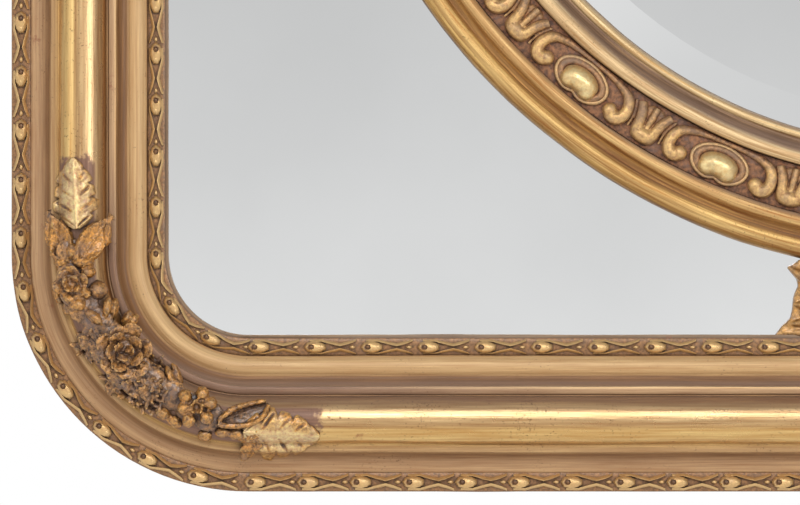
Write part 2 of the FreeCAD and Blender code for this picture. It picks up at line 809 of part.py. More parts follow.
# Keyhole hangers let into the back of the top rail, clear of the dowels in its joints
hanger_x = (S.overall_width / 2 - S.corner_radius - S.dowel_length / 2 - S.hanger_dowel_gap
            - S.hanger_width / 2)
hanger_screws = []
hanger_cuts = []
for name, right in (("left", -1), ("right", 1)):
    middle = hanger_x * right
    blank = doc.addObject("Part::Box", f"hanger_{name}_blank")
    bind(blank, Length=S.hanger_width, Width=S.hanger_thickness, Height=S.hanger_height)
    place(blank, middle - S.hanger_width / 2, -S.hanger_thickness,
          S.hanger_rise - S.hanger_height / 2)
    recess = doc.addObject("Part::Box", f"hanger_{name}_recess")
    bind(recess, Length=S.hanger_width + S.edge_play, Width=S.hanger_thickness,
         Height=S.hanger_height + S.edge_play)
    place(recess, middle - (S.hanger_width + S.edge_play) / 2, -S.hanger_thickness,
          S.hanger_rise - (S.hanger_height + S.edge_play) / 2)
    pocket = doc.addObject("Part::Box", f"hanger_{name}_pocket")
    bind(pocket, Length=S.keyhole_pocket_width, Width=S.keyhole_pocket_depth,
         Height=S.keyhole_pocket_height)
    place(pocket, middle - S.keyhole_pocket_width / 2, -S.keyhole_pocket_depth,
          S.hanger_rise - S.keyhole_pocket_height / 2)
    hanger_cuts += [recess, pocket]

    entry = doc.addObject("Part::Cylinder", f"hanger_{name}_entry")
    bind(entry, Radius=S.keyhole_diameter / 2, Height=S.hanger_thickness)
    place(entry, middle, ZERO, ZERO, TOWARDS_VIEWER)
    slot = doc.addObject("Part::Box", f"hanger_{name}_slot")
    bind(slot, Length=S.keyhole_slot_width, Width=S.hanger_thickness, Height=S.keyhole_slot_length)
    place(slot, middle - S.keyhole_slot_width / 2, -S.hanger_thickness, ZERO)
    slot_end = doc.addObject("Part::Cylinder", f"hanger_{name}_slot_end")
    bind(slot_end, Radius=S.keyhole_slot_width / 2, Height=S.hanger_thickness)
    place(slot_end, middle, ZERO, S.keyhole_slot_length, TOWARDS_VIEWER)
    cuts = [entry, slot, slot_end]
    for sign in (-1, 1):
        spot = middle + (S.hanger_width / 2 - S.hanger_screw_inset) * sign
        sink = doc.addObject("Part::Cone", f"hanger_{name}_sink_{(sign + 1) // 2}")
        bind(sink, Radius1=head + S.screw_play, Radius2=shank + S.screw_play, Height=S.hanger_thickness)
        place(sink, spot, ZERO, S.hanger_rise, TOWARDS_VIEWER)
        cuts.append(sink)
        hanger_screws.append((spot, S.hanger_rise))
    nodes[f"hanger_plate_{name}"] = boolean("Cut", f"hanger_plate_{name}", blank,
                                            fuse(f"hanger_{name}_cuts", cuts))
flush_screw = new_body("flush_screw")
flush_section = new_sketch(flush_screw, "section")
draw(flush_section, [
    (ZERO, ZERO),
    (head, ZERO),
    (shank, S.hanger_thickness),
    (shank, S.screw_length - S.screw_tip),
    (ZERO, S.screw_length),
])
revolve(flush_screw, flush_section, 360.0)
doc.recompute()
nodes["hanger_screws"] = copies("hanger_screws", flush_screw,
                                [(x, ZERO, z, FORWARDS) for x, z in hanger_screws])
hanger_screw_holes = rods("hanger_screw_holes", [(x, ZERO, z, TOWARDS_VIEWER) for x, z in hanger_screws],
                          screw_hole, S.screw_length + S.dowel_end_play)

# Rails, corners and arcs with their holes
for side, corner in CORNER_OF_SIDE.items():
    cuts = [dowel_holes, rail_screw_holes]
    if side == "top":
        cuts += hanger_cuts + [hanger_screw_holes]
    nodes[f"rail_{side}"] = boolean("Cut", f"rail_{side}", blanks[f"rail_{side}"],
                                    group(f"rail_{side}_cuts", cuts))
    nodes[f"corner_{corner}"] = boolean("Cut", f"corner_{corner}", blanks[f"corner_{corner}"], dowel_holes)
oval_cuts = group("oval_cuts", [oval_dowel_holes, oval_screw_holes, pivot_holes])
for arc in ARCS:
    nodes[f"oval_arc_{arc}"] = boolean("Cut", f"oval_arc_{arc}", blanks[f"oval_arc_{arc}"], oval_cuts)

# Back panel with its oval opening
panel_sheet = plate("panel_sheet", sheet_outline(rail_back + S.edge_play), panel_back, S.panel_thickness)
panel_hole = plate("panel_hole", oval_outline(ring_step - S.edge_play), panel_back, S.panel_thickness)
panel_cuts = group("panel_cuts", [panel_hole, rail_screw_holes, oval_screw_holes])
nodes["back_panel"] = boolean("Cut", "back_panel", panel_sheet, panel_cuts)

# Bridge ornaments, outlined in shares of half their width and of the gap that they fill
BRIDGE_SHARES = ((1.0, 0.0), (0.905, 0.25), (0.888, 0.56), (0.859, 0.78), (0.916, 1.08), (0.85, 1.2),
                 (0.5, 1.32))
BRIDGE_TURNS = {"bottom": 0.0, "left": 90.0, "top": 180.0, "right": 270.0}
for side, turn in BRIDGE_TURNS.items():
    right, up, radius, reach, half_angle = ARCS[side]
    bridge = new_body(f"bridge_{side}_blank")
    sketch = new_sketch(bridge, "outline", "XZ_Plane", S.glass_front)
    half = S.bridge_width / 2
    rightwards = [(half * share, S.oval_gap * rise) for share, rise in BRIDGE_SHARES]
    leftwards = [(half * -share, S.oval_gap * rise) for share, rise in reversed(BRIDGE_SHARES)]
    draw(sketch, rightwards + leftwards)
    pad(bridge, sketch, S.bridge_thickness)
    inner = reach + S.oval_gap
    place(bridge, inner * right, ZERO, centre_z + inner * up,
          FreeCAD.Rotation(FreeCAD.Vector(0, 1, 0), turn))
    label = f"bridge_ornament_{side}"
    nodes[label] = boolean("Cut", label, bridge, blanks[f"oval_arc_{side}"])

# Corner garland: a swelling over the torus, blooms and leaves, cut to the moulding under it
GARLAND_START_ANGLE = 4.0
GARLAND_SWEEP = 80.0
BLOOMS = (
    ("garland_bud", S.bud_diameter, 9.0, 0.40),
    ("garland_rose", S.rose_diameter, 39.5, 0.51),
    ("garland_bloom", S.bloom_diameter, 71.0, 0.50),
)
# Leaves: along the left rail or the bottom rail, in shares of a leaf's length, and turned aside
LEAVES = (
    ("garland_tip_leaf", "left", 1.05, 0.42, 0.0),
    ("garland_outer_sepal", "left", 0.45, 0.31, 24.0),
    ("garland_inner_sepal", "left", 0.45, 0.56, -24.0),
    ("garland_end_leaf", "bottom", 0.72, 0.38, 0.0),
    ("garland_side_leaf", "bottom", -0.10, 0.46, -30.0),
)
torus_middle = S.edge_bead_width + S.cove_width + S.fillet_width + S.torus_width / 2
fillet_top = S.side_height + S.bead_riser + S.cove_height + S.fillet_riser
garland_height = fillet_top + S.garland_lift
corner_x, corner_z, corner_turn, straight = side_frame("left")

members = []
swell = doc.addObject("Part::Torus", "garland_swell")
bind(swell, Radius1=S.corner_radius - torus_middle, Radius2=S.garland_tube_diameter / 2)
swell.Angle3 = GARLAND_SWEEP
swell_start = FreeCAD.Rotation(FreeCAD.Vector(0, 1, 0), -GARLAND_START_ANGLE)
swell_axes = FreeCAD.Rotation(FreeCAD.Vector(-1, 0, 0), FreeCAD.Vector(0, 0, -1),
                              FreeCAD.Vector(0, -1, 0), "XYZ")
place(swell, corner_x, -garland_height, corner_z, swell_start.multiply(swell_axes))
members.append(swell)
for name, diameter, angle, width_share in BLOOMS:
    reach = S.corner_radius - rail_width * width_share
    turned = math.radians(angle)
    ball = doc.addObject("Part::Sphere", name)
    bind(ball, Radius=diameter / 2)
    place(ball, corner_x - reach * math.cos(turned), -garland_height, corner_z - reach * math.sin(turned))
    members.append(ball)
leaf_back = fillet_top + S.torus_rise + S.leaf_lift - S.leaf_thickness
for name, side, along, width_share, aside in LEAVES:
    leaf = new_body(name)
    sketch = new_sketch(leaf, "outline", "XZ_Plane", leaf_back)
    half = S.leaf_length / 2
    bow = S.leaf_width / 2
    draw(sketch, [(ZERO, -half, bow, "right"), (ZERO, half, bow, "right")])
    pad(leaf, sketch, S.leaf_thickness)
    reach = S.corner_radius - rail_width * width_share
    step = S.leaf_length * along
    if side == "left":
        place(leaf, corner_x - reach, ZERO, corner_z + step,
              FreeCAD.Rotation(FreeCAD.Vector(0, 1, 0), -aside))
    else:
        place(leaf, corner_x + step, ZERO, corner_z - reach,
              FreeCAD.Rotation(FreeCAD.Vector(0, 1, 0), 90.0 - aside))
    members.append(leaf)
garland_blank = fuse("garland_blank", members)
garland_seat = fuse("garland_seat", [blanks["rail_left"], blanks["corner_bottom_left"],
                                     blanks["rail_bottom"]])
nodes["corner_garland_bottom_left"] = boolean("Cut", "corner_garland_bottom_left", garland_blank,
                                              garland_seat)
for corner, source, normal in (
    ("bottom_right", "bottom_left", FreeCAD.Vector(1, 0, 0)),
    ("top_left", "bottom_left", FreeCAD.Vector(0, 0, 1)),
    ("top_right", "bottom_right", FreeCAD.Vector(0, 0, 1)),
):
    label = f"corner_garland_{corner}"
    mirrored = doc.addObject("Part::Mirroring", label)
    mirrored.Label = label
    mirrored.Source = nodes[f"corner_garland_{source}"]
    mirrored.Normal = normal
    mirrored.Base = FreeCAD.Vector(0, 0, centre_z.value)
    mirrored.setExpression("Base.z", centre_z.text)
    nodes[label] = mirrored

doc.recompute()

# Check every object and every node before writing
for obj in doc.Objects:
    if "Invalid" in obj.State or "Error" in obj.State:
        raise RuntimeError(f"{obj.Label} did not build: {obj.State}")
for label, node in nodes.items():
    shape = node.Shape
    if shape.isNull() or not shape.isValid() or not shape.Solids:
        raise RuntimeError(f"{label} has no valid solid")
for side in SIDES:
    if nodes[f"rail_{side}"].Shape.Volume >= blanks[f"rail_{side}"].Shape.Volume:
        raise RuntimeError(f"rail_{side} has no holes")

for label, node in nodes.items():
    node.Shape.exportStep(f"parts/{label}.step")
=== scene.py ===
import math

import bpy
from mathutils import Matrix, Vector


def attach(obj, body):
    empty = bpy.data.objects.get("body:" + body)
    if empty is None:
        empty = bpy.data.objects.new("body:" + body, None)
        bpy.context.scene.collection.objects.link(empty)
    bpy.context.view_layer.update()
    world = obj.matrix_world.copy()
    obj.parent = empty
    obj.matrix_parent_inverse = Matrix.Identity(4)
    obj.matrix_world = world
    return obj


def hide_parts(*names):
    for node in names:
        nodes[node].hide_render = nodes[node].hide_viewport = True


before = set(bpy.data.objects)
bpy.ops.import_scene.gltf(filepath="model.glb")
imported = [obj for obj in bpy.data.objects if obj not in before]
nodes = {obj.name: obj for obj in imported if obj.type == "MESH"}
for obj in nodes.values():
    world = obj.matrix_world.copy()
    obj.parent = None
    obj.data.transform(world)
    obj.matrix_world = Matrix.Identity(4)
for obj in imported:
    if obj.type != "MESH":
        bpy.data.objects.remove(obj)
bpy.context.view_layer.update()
bpy.ops.object.select_all(action="DESELECT")

# Frame rails and rounded corners: one moulding of softwood under gesso and red bole, gilded and rubbed.
# Each run is made face up on the bench from its section, then stood up where it hangs on the wall.
MM = 0.001
WIDTH = 800 * MM
HEIGHT = 1000 * MM
CORNER_RADIUS = 102 * MM
RAIL_WIDTH = 67.5 * MM
MIDDLE_BELOW_KEYHOLES = -476.25 * MM
STRAIGHT_STEPS = 48
CORNER_STEPS = 40
QUARTER_TURN = math.pi / 2
FRAME_ARRIS = 0.35 * MM
FRAME_FACE = 15 * MM
SHARP_EDGE, MOULDING_CREASE = math.radians(32), math.radians(35)
WAVE_LENGTH, WAVE_DEPTH = 40 * MM, 0.9 * MM
# Distance in from the outer edge, height off the wall, and how far the next side bows out, in millimetres
FRAME_SECTION = (
    (0.0, 0.0, 0.0), (0.0, 17.0, 0.0), (8.2, 17.0, 0.0), (8.2, 18.5, -2.2), (17.0, 27.8, 0.0),
    (17.3, 30.2, 0.3), (20.8, 30.5, 9.6), (41.2, 31.0, -0.1), (42.0, 30.9, 0.0), (42.2, 31.5, 0.15),
    (45.3, 31.3, 0.0), (45.5, 29.8, -1.5), (50.5, 25.0, 1.9), (58.4, 23.0, 0.0), (58.4, 19.5, 0.0),
    (67.5, 19.5, 0.0), (67.5, 14.5, 0.0), (59.5, 14.5, 0.0), (59.5, 10.5, 0.0), (47.5, 10.5, 0.0),
    (47.5, 0.0, 0.0),
)


def section_points(section, arc_steps=12):
    """The closed section as points, with each bowed side drawn as an arc."""
    points = []
    for (u, d, bow), (u2, d2, _) in zip(section, section[1:] + section[:1]):
        points.append((u * MM, d * MM))
        if not bow:
            continue
        chord = Vector((u2 - u, d2 - d))
        out = Vector((-chord.y, chord.x)).normalized() * (1 if bow > 0 else -1)
        rise = abs(bow)
        radius = chord.length_squared / (8 * rise) + rise / 2
        centre = Vector((u, d)) + chord / 2 + out * (rise - radius)
        start = Vector((u, d)) - centre
        turn = start.angle_signed(Vector((u2, d2)) - centre)
        steps = max(3, round(arc_steps * abs(turn) / 1.5))
        for step in range(1, steps):
            spot = start.copy()
            spot.rotate(Matrix.Rotation(-turn * step / steps, 2))
            points.append(((centre.x + spot.x) * MM, (centre.y + spot.y) * MM))
    return points


def lay_section(name, points, width, place):
    """The section as a ring of edges, left in edit mode, with each point's share of the width kept on it."""
    bpy.ops.object.select_all(action="DESELECT")
    bpy.ops.mesh.primitive_circle_add(vertices=len(points), fill_type="NOTHING")
    ring = bpy.context.object
    ring.name = name
    ring.data.name = name
    for vertex, point in zip(ring.data.vertices, points):
        vertex.co = place(*point)
    across = ring.data.attributes.new("across", "FLOAT", "POINT")
    across.data.foreach_set("value", [u / width for u, d in points])
    bpy.ops.object.mode_set(mode="EDIT")
    bpy.ops.mesh.select_all(action="SELECT")
    return ring


def close_run(run):
    """Close a run's two ends and turn its faces outwards."""
    bpy.ops.mesh.select_all(action="SELECT")
    bpy.ops.mesh.remove_doubles(threshold=1e-6)
    bpy.ops.mesh.fill_holes(sides=0)
    bpy.ops.mesh.select_all(action="SELECT")
    bpy.ops.mesh.normals_make_consistent(inside=False)
    bpy.ops.object.mode_set(mode="OBJECT")
    return run


def extend(reach, steps):
    """Draw the open end of a run straight out, in even steps."""
    for _ in range(steps):
        bpy.ops.mesh.extrude_edges_move(TRANSFORM_OT_translate={"value": [way / steps for way in reach]})


def finish_moulding(run, arris, back):
    """Soften a run's edges as gesso does, give its face the waves of hand work, and close its ends."""
    bpy.ops.mesh.select_all(action="SELECT")
    bpy.ops.mesh.remove_doubles(threshold=1e-6)
    bpy.ops.mesh.normals_make_consistent(inside=False)
    bpy.ops.object.mode_set(mode="OBJECT")
    bevel = run.modifiers.new("gesso", "BEVEL")
    bevel.width = arris
    bevel.segments = 2
    bevel.angle_limit = SHARP_EDGE
    bpy.ops.object.modifier_apply(modifier="gesso")
    face = run.vertex_groups.new(name="face")
    face.add([v.index for v in run.data.vertices if v.co.z > back], 1.0, "REPLACE")
    waves = bpy.data.textures.new("hand_waves", "CLOUDS")
    waves.noise_scale = WAVE_LENGTH
    hand = run.modifiers.new("hand", "DISPLACE")
    hand.texture = waves
    hand.texture_coords = "LOCAL"
    hand.vertex_group = "face"
    hand.strength = WAVE_DEPTH
    hand.mid_level = 0.5
    bpy.ops.object.modifier_apply(modifier="hand")
    run.vertex_groups.clear()
    bpy.ops.object.mode_set(mode="EDIT")
    close_run(run)
    bpy.ops.object.shade_smooth_by_angle(angle=MOULDING_CREASE)


def pick(*pieces):
    """Select these pieces alone, the first one active."""
    bpy.ops.object.select_all(action="DESELECT")
    for piece in pieces:
        piece.select_set(True)
    bpy.context.view_layer.objects.active = pieces[0]


def stand_up(piece):
    """Turn a piece from the bench to where it hangs, with its place in its mesh."""
    pick(piece)
    piece.rotation_euler = (QUARTER_TURN, 0, 0)
    piece.location = (0, 0, MIDDLE_BELOW_KEYHOLES)
    bpy.ops.object.transform_apply()


def own_copy(piece, name):
    """A copy of a piece with its own mesh, under its own name."""
    pick(piece)
    bpy.ops.object.duplicate()
    copy = bpy.context.object
    copy.name = name
    copy.data.name = name
    return copy


def faces_out():
    """Turn all faces of the active piece outwards."""
    bpy.ops.object.mode_set(mode="EDIT")
    bpy.ops.mesh.select_all(action="SELECT")
    bpy.ops.mesh.normals_make_consistent(inside=False)
    bpy.ops.object.mode_set(mode="OBJECT")


def mirrored_copy(piece, name, stretch):
    """A copy mirrored across the bench's centre lines, or stretched along them."""
    copy = own_copy(piece, name)
    copy.scale = stretch
    bpy.ops.object.transform_apply()
    faces_out()
    return copy


frame_points = section_points(FRAME_SECTION)
half_width, half_height = WIDTH / 2, HEIGHT / 2
corner_x, corner_y = half_width - CORNER_RADIUS, half_height - CORNER_RADIUS

left = lay_section("left_rail", frame_points, RAIL_WIDTH, lambda u, d: (u - half_width, -corner_y, d))
extend((0, 2 * corner_y, 0), STRAIGHT_STEPS)
finish_moulding(left, FRAME_ARRIS, FRAME_FACE)

bottom = lay_section("bottom_rail", frame_points, RAIL_WIDTH, lambda u, d: (-corner_x, u - half_height, d))
extend((2 * corner_x, 0, 0), STRAIGHT_STEPS)
finish_moulding(bottom, FRAME_ARRIS, FRAME_FACE)

bend = lay_section("bottom_left_corner", frame_points, RAIL_WIDTH,
                   lambda u, d: (u - half_width, -corner_y, d))
bpy.ops.mesh.spin(steps=CORNER_STEPS, angle=-QUARTER_TURN, center=(-corner_x, -corner_y, 0), axis=(0, 0, 1))
finish_moulding(bend, FRAME_ARRIS, FRAME_FACE)

frame_runs = {
    "rail_left": left,
    "rail_bottom": bottom,
    "corner_bottom_left": bend,
    "rail_right": mirrored_copy(left, "right_rail", (-1, 1, 1)),
    "rail_top": mirrored_copy(bottom, "top_rail", (1, -1, 1)),
    "corner_bottom_right": mirrored_copy(bend, "bottom_right_corner", (-1, 1, 1)),
    "corner_top_left": mirrored_copy(bend, "top_left_corner", (1, -1, 1)),
    "corner_top_right": mirrored_copy(bend, "top_right_corner", (-1, -1, 1)),
}


def linear(hex_colour):
    """A written sRGB colour as the linear colour that the shader takes."""
    channels = [int(hex_colour[i:i + 2], 16) / 255 for i in (1, 3, 5)]
    return [c / 12.92 if c <= 0.04045 else ((c + 0.055) / 1.055) ** 2.4 for c in channels] + [1.0]


def add_node(tree, kind, inputs=None, stops=None, **settings):
    """Add a shader node with its settings, its ramp's stops, and its inputs as values or links."""
    node = tree.nodes.new("ShaderNode" + kind)
    for name, value in settings.items():
        setattr(node, name, value)
    if stops:
        ramp = node.color_ramp.elements
        while len(ramp) < len(stops):
            ramp.new(0.5)
        for element, (place, colour) in zip(ramp, stops):
            element.position = place
            element.color = linear(colour) if isinstance(colour, str) else (colour, colour, colour, 1.0)
    for name, value in (inputs or {}).items():
        if isinstance(value, bpy.types.NodeSocket):
            tree.links.new(value, node.inputs[name])
        else:
            node.inputs[name].default_value = value
    return node


def new_finish(name):
    """An empty material with its node tree and shader."""
    material = bpy.data.materials.new(name)
    material.use_nodes = True
    return material, material.node_tree, material.node_tree.nodes["Principled BSDF"]


def dress(piece, *finishes):
    """Give a piece these finishes and no others."""
    piece.data.materials.clear()
    for finish in finishes:
        piece.data.materials.append(finish)


# Sizes of the marks in the gilding. Real grit is finer, and is drawn as coarse as it has to be to show.
RUB_LINE, RUB_LENGTH = 0.909 * MM, 38.46 * MM
BLOTCH, WEAR, GRIT = 26.32 * MM, 13.33 * MM, 1.111 * MM
RAGGED, RAGGED_DEPTH, RAGGED_FROM, RAGGED_TO = 6.25 * MM, 16 * MM, 7 * MM, 9 * MM
GRIT_RELIEF = 0.25 * MM
HOLLOW_REACH = 6 * MM
# From the side and bottom edges: where the garlands end, and where the fillet there turns bright and dull
GARLAND_ENDS = (132 * MM, 143 * MM)
FILLET_BRIGHT, FILLET_DULL = (260 * MM, 150 * MM), (135 * MM, 102 * MM)
RED_GROUND, DULL_FILLET, RED_BOLE = "#87634f", "#87664f", "#8d4f35"
BROWN_PIT, GREY_DUST_AND_REFLECTION, BROWN_TONING_AND_SHADE = "#5a3a1e", "#8c7466", "#54361d"


def gilded_moulding(name, tones, burnish, width, dust_and_reflection_across, rubbing,
                    ground_across=None, fillet_across=None):
    """Leaf gilding on a run moulding: tone and burnish band by band, rubbed lengthwise, pitted and worn."""
    material, tree, shader = new_finish(name)
    across = add_node(tree, "Attribute", attribute_name="across").outputs["Fac"]
    place = add_node(tree, "TexCoord").outputs["Object"]
    split = add_node(tree, "SeparateXYZ", {0: place})
    # Rubbing runs along the moulding: lines about a millimetre apart across it, some centimetres long
    lines = add_node(tree, "Math", {0: across, 1: width / RUB_LINE}, operation="MULTIPLY")
    along_x = add_node(tree, "Math", {0: split.outputs["X"], 1: 1 / RUB_LENGTH}, operation="MULTIPLY")
    along_z = add_node(tree, "Math", {0: split.outputs["Z"], 1: 1 / RUB_LENGTH}, operation="MULTIPLY")
    run = add_node(tree, "CombineXYZ", {0: lines.outputs[0], 1: along_x.outputs[0], 2: along_z.outputs[0]})
    rubbed = add_node(tree, "TexNoise", {"Vector": run.outputs[0], "Scale": 1.0, "Detail": 6.0,
                                         "Roughness": 0.62}).outputs["Fac"]
    blotches = add_node(tree, "TexNoise", {"Vector": place, "Scale": 1 / BLOTCH, "Detail": 5.0,
                                           "Roughness": 0.6}).outputs["Fac"]
    grit = add_node(tree, "TexNoise", {"Vector": place, "Scale": 1 / GRIT, "Detail": 3.0,
                                       "Roughness": 0.7}).outputs["Fac"]
    tone = add_node(tree, "ValToRGB", {"Fac": across}, stops=tones).outputs["Color"]
    shine = add_node(tree, "ValToRGB", {"Fac": across}, stops=burnish).outputs["Color"]
    if ground_across:
        # Round the garlands the burnished band was left as dull red-brown toning, with a ragged end
        aside = add_node(tree, "Math", {0: split.outputs["X"]}, operation="ABSOLUTE").outputs[0]
        level = add_node(tree, "Math", {0: split.outputs["Z"], 1: -MIDDLE_BELOW_KEYHOLES},
                         operation="ADD").outputs[0]
        level = add_node(tree, "Math", {0: level}, operation="ABSOLUTE").outputs[0]
        past_x = add_node(tree, "Math", {0: aside, 1: half_width - GARLAND_ENDS[0]},
                          operation="SUBTRACT").outputs[0]
        past_z = add_node(tree, "Math", {0: level, 1: half_height - GARLAND_ENDS[1]},
                          operation="SUBTRACT").outputs[0]
        past = add_node(tree, "Math", {0: past_x, 1: past_z}, operation="MINIMUM").outputs[0]
        ragged = add_node(tree, "TexNoise", {"Vector": place, "Scale": 1 / RAGGED, "Detail": 6.0,
                                             "Roughness": 0.7}).outputs["Fac"]
        past = add_node(tree, "Math", {0: ragged, 1: RAGGED_DEPTH, 2: past}, operation="MULTIPLY_ADD")
        ground = add_node(tree, "MapRange", {"Value": past.outputs[0], "From Min": RAGGED_FROM,
                                             "From Max": RAGGED_TO}).outputs[0]
        stretch = add_node(tree, "ValToRGB", {"Fac": across}, stops=ground_across).outputs["Color"]
        ground = add_node(tree, "Math", {0: ground, 1: stretch}, operation="MULTIPLY").outputs[0]
        tone = add_node(tree, "Mix", {0: ground, 6: tone, 7: linear(RED_GROUND)}, data_type="RGBA").outputs[2]
        shine = add_node(tree, "Math", {0: shine, 1: ground}, operation="SUBTRACT", use_clamp=True).outputs[0]
        # The fillet is as dull there, and brightens little by little along the rails
        fade_x = add_node(tree, "MapRange", {"Value": aside, "From Min": half_width - FILLET_BRIGHT[0],
                                             "From Max": half_width - FILLET_DULL[0]}).outputs[0]
        fade_z = add_node(tree, "MapRange", {"Value": level, "From Min": half_height - FILLET_BRIGHT[1],
                                             "From Max": half_height - FILLET_DULL[1]}).outputs[0]
        fade = add_node(tree, "Math", {0: fade_x, 1: fade_z}, operation="MINIMUM").outputs[0]
        fillet = add_node(tree, "ValToRGB", {"Fac": across}, stops=fillet_across).outputs["Color"]
        fade = add_node(tree, "Math", {0: fade, 1: fillet}, operation="MULTIPLY").outputs[0]
        tone = add_node(tree, "Mix", {0: fade, 6: tone, 7: linear(DULL_FILLET)}, data_type="RGBA").outputs[2]
    # Rubbed lines lighten and darken the leaf
    rub_shade = add_node(tree, "ValToRGB", {"Fac": rubbed},
                         stops=[(0.30, "#4a3622"), (0.50, "#b4b4b4"), (0.68, "#fffaf0")]).outputs["Color"]
    rub_share = add_node(tree, "Math", {0: shine, 1: 0.15, 2: rubbing}, operation="MULTIPLY_ADD").outputs[0]
    rubbed_tone = add_node(tree, "Mix", {0: rub_share, 6: tone, 7: rub_shade}, data_type="RGBA",
                           blend_type="SOFT_LIGHT").outputs[2]
    # Small dark pits where the leaf missed, thicker in some stretches and on the burnished bands
    pit_field = add_node(tree, "Math", {0: blotches, 1: 0.45, 2: grit}, operation="MULTIPLY_ADD").outputs[0]
    pit_field = add_node(tree, "Math", {0: shine, 1: 0.05, 2: pit_field}, operation="MULTIPLY_ADD").outputs[0]
    pits = add_node(tree, "ValToRGB", {"Fac": pit_field}, stops=[(0.88, 0.0), (0.98, 0.7)])
    pitted = add_node(tree, "Mix", {0: pits.outputs["Color"], 6: rubbed_tone, 7: linear(BROWN_PIT)},
                      data_type="RGBA").outputs[2]
    # Spots rubbed through to the red bole
    worn_field = add_node(tree, "TexNoise", {"Vector": place, "Scale": 1 / WEAR, "Detail": 8.0,
                                             "Roughness": 0.7}).outputs["Fac"]
    worn = add_node(tree, "ValToRGB", {"Fac": worn_field}, stops=[(0.64, 0.0), (0.71, 0.7)])
    worn_tone = add_node(tree, "Mix", {0: worn.outputs["Color"], 6: pitted, 7: linear(RED_BOLE)},
                         data_type="RGBA").outputs[2]
    # Faces turned upwards hold grey dust, painted as a grey reflection too, and hollows hold brown toning and
    # painted shade
    facing = add_node(tree, "NewGeometry").outputs["Normal"]
    upward = add_node(tree, "SeparateXYZ", {0: facing}).outputs["Z"]
    dust_and_reflection = add_node(tree, "ValToRGB", {"Fac": upward}, stops=[(0.35, 0.0), (0.75, 0.65)]).outputs["Color"]
    held = add_node(tree, "ValToRGB", {"Fac": across}, stops=dust_and_reflection_across).outputs["Color"]
    dust_and_reflection = add_node(tree, "Math", {0: dust_and_reflection, 1: held}, operation="MULTIPLY").outputs[0]
    dust_and_reflection_tone = add_node(tree, "Mix", {0: dust_and_reflection, 6: worn_tone, 7: linear(GREY_DUST_AND_REFLECTION)}, data_type="RGBA").outputs[2]
    # Painted shade: ambient occlusion darkens the hollows, and the moulding round the garlands, to brown
    hollow = add_node(tree, "AmbientOcclusion", {"Distance": HOLLOW_REACH}, samples=6).outputs["AO"]
    toning_and_shade = add_node(tree, "ValToRGB", {"Fac": hollow}, stops=[(0.25, 0.85), (0.66, 0.0)])
    colour = add_node(tree, "Mix", {0: toning_and_shade.outputs["Color"], 6: dust_and_reflection_tone, 7: linear(BROWN_TONING_AND_SHADE)},
                      data_type="RGBA").outputs[2]
    tree.links.new(colour, shader.inputs["Base Color"])
    # Burnished bands are smooth metal, matt bands are dull, and dust with its painted grey reflection, and
    # toning with its painted shade, hide the metal
    uneven = add_node(tree, "Math", {0: blotches, 1: 0.24, 2: 0.47}, operation="MULTIPLY_ADD").outputs[0]
    smooth = add_node(tree, "Math", {0: shine, 1: -0.29, 2: uneven}, operation="MULTIPLY_ADD").outputs[0]
    rough = add_node(tree, "Math", {0: dust_and_reflection, 1: 0.2, 2: smooth}, operation="MULTIPLY_ADD",
                     use_clamp=True).outputs[0]
    tree.links.new(rough, shader.inputs["Roughness"])
    bare = add_node(tree, "Math", {0: shine, 1: 0.40, 2: 0.50}, operation="MULTIPLY_ADD").outputs[0]
    cover = add_node(tree, "Math", {0: toning_and_shade.outputs["Color"], 1: dust_and_reflection}, operation="MAXIMUM").outputs[0]
    metal = add_node(tree, "Math", {0: cover, 1: -0.7, 2: bare}, operation="MULTIPLY_ADD",
                     use_clamp=True).outputs[0]
    tree.links.new(metal, shader.inputs["Metallic"])
    # A thin coat of varnish whitens the highlights
    shader.inputs["Coat Weight"].default_value = 0.3
    shader.inputs["Coat Roughness"].default_value = 0.32
    # Low relief of the rubbing and the grit
    relief = add_node(tree, "Math", {0: grit, 1: 0.35, 2: rubbed}, operation="MULTIPLY_ADD")
    bump = add_node(tree, "Bump", {"Strength": 0.45, "Distance": GRIT_RELIEF, "Height": relief.outputs[0]})
    tree.links.new(bump.outputs[0], shader.inputs["Normal"])
    return material


def band(u_mm):
    """A place across the frame moulding as a share of its width."""
    return u_mm * MM / RAIL_WIDTH


# Gold leaf over red bole: the wide round is burnished and shines in lines, the hollows are matt brown
# The band tones also hold painted shade in the grooves and hollows, a painted highlight along the fillet's
# edge, a painted reflection on the round's outer flank and painted light on the band by the sight edge
frame_gilding = gilded_moulding(
    "frame_leaf_gilding",
    tones=[(band(7.0), "#6b4a2c"), (band(9.0), "#c19b72"), (band(13.0), "#b9936d"), (band(16.2), "#96714f"),
           (band(17.2), "#c09a6d"), (band(19.0), "#b08a5c"), (band(21.0), "#d0a869"), (band(25.0), "#d4ae70"),
           (band(27.0), "#cfa96d"), (band(28.4), "#ab8557"), (band(30.4), "#cba777"), (band(36.0), "#c9a67a"),
           (band(40.5), "#9c6d35"), (band(41.9), "#8f6a40"), (band(42.4), "#ac8864"), (band(44.2), "#b9956f"),
           (band(44.9), "#dab684"), (band(45.3), "#d0ab7a"), (band(46.0), "#805a36"), (band(49.5), "#7d552d"),
           (band(51.0), "#d0a977"), (band(52.3), "#d0a977"), (band(54.0), "#c5a071"), (band(56.0), "#c8a474"),
           (band(58.4), "#d4b080"), (band(59.9), "#775534"), (band(65.8), "#6d5440"),
           (band(67.0), "#8d7358")],
    burnish=[(band(19.5), 0.0), (band(21.5), 1.0), (band(40.5), 1.0), (band(42.0), 0.0)],
    width=RAIL_WIDTH,
    dust_and_reflection_across=[(band(36.0), 0.4), (band(41.0), 1.0), (band(49.0), 1.0), (band(50.5), 0.0)],
    rubbing=0.45,
    ground_across=[(band(20.8), 0.0), (band(21.6), 1.0), (band(35.8), 1.0), (band(37.2), 0.0)],
    fillet_across=[(band(41.6), 0.0), (band(42.2), 1.0), (band(45.3), 1.0), (band(46.0), 0.0)],
)

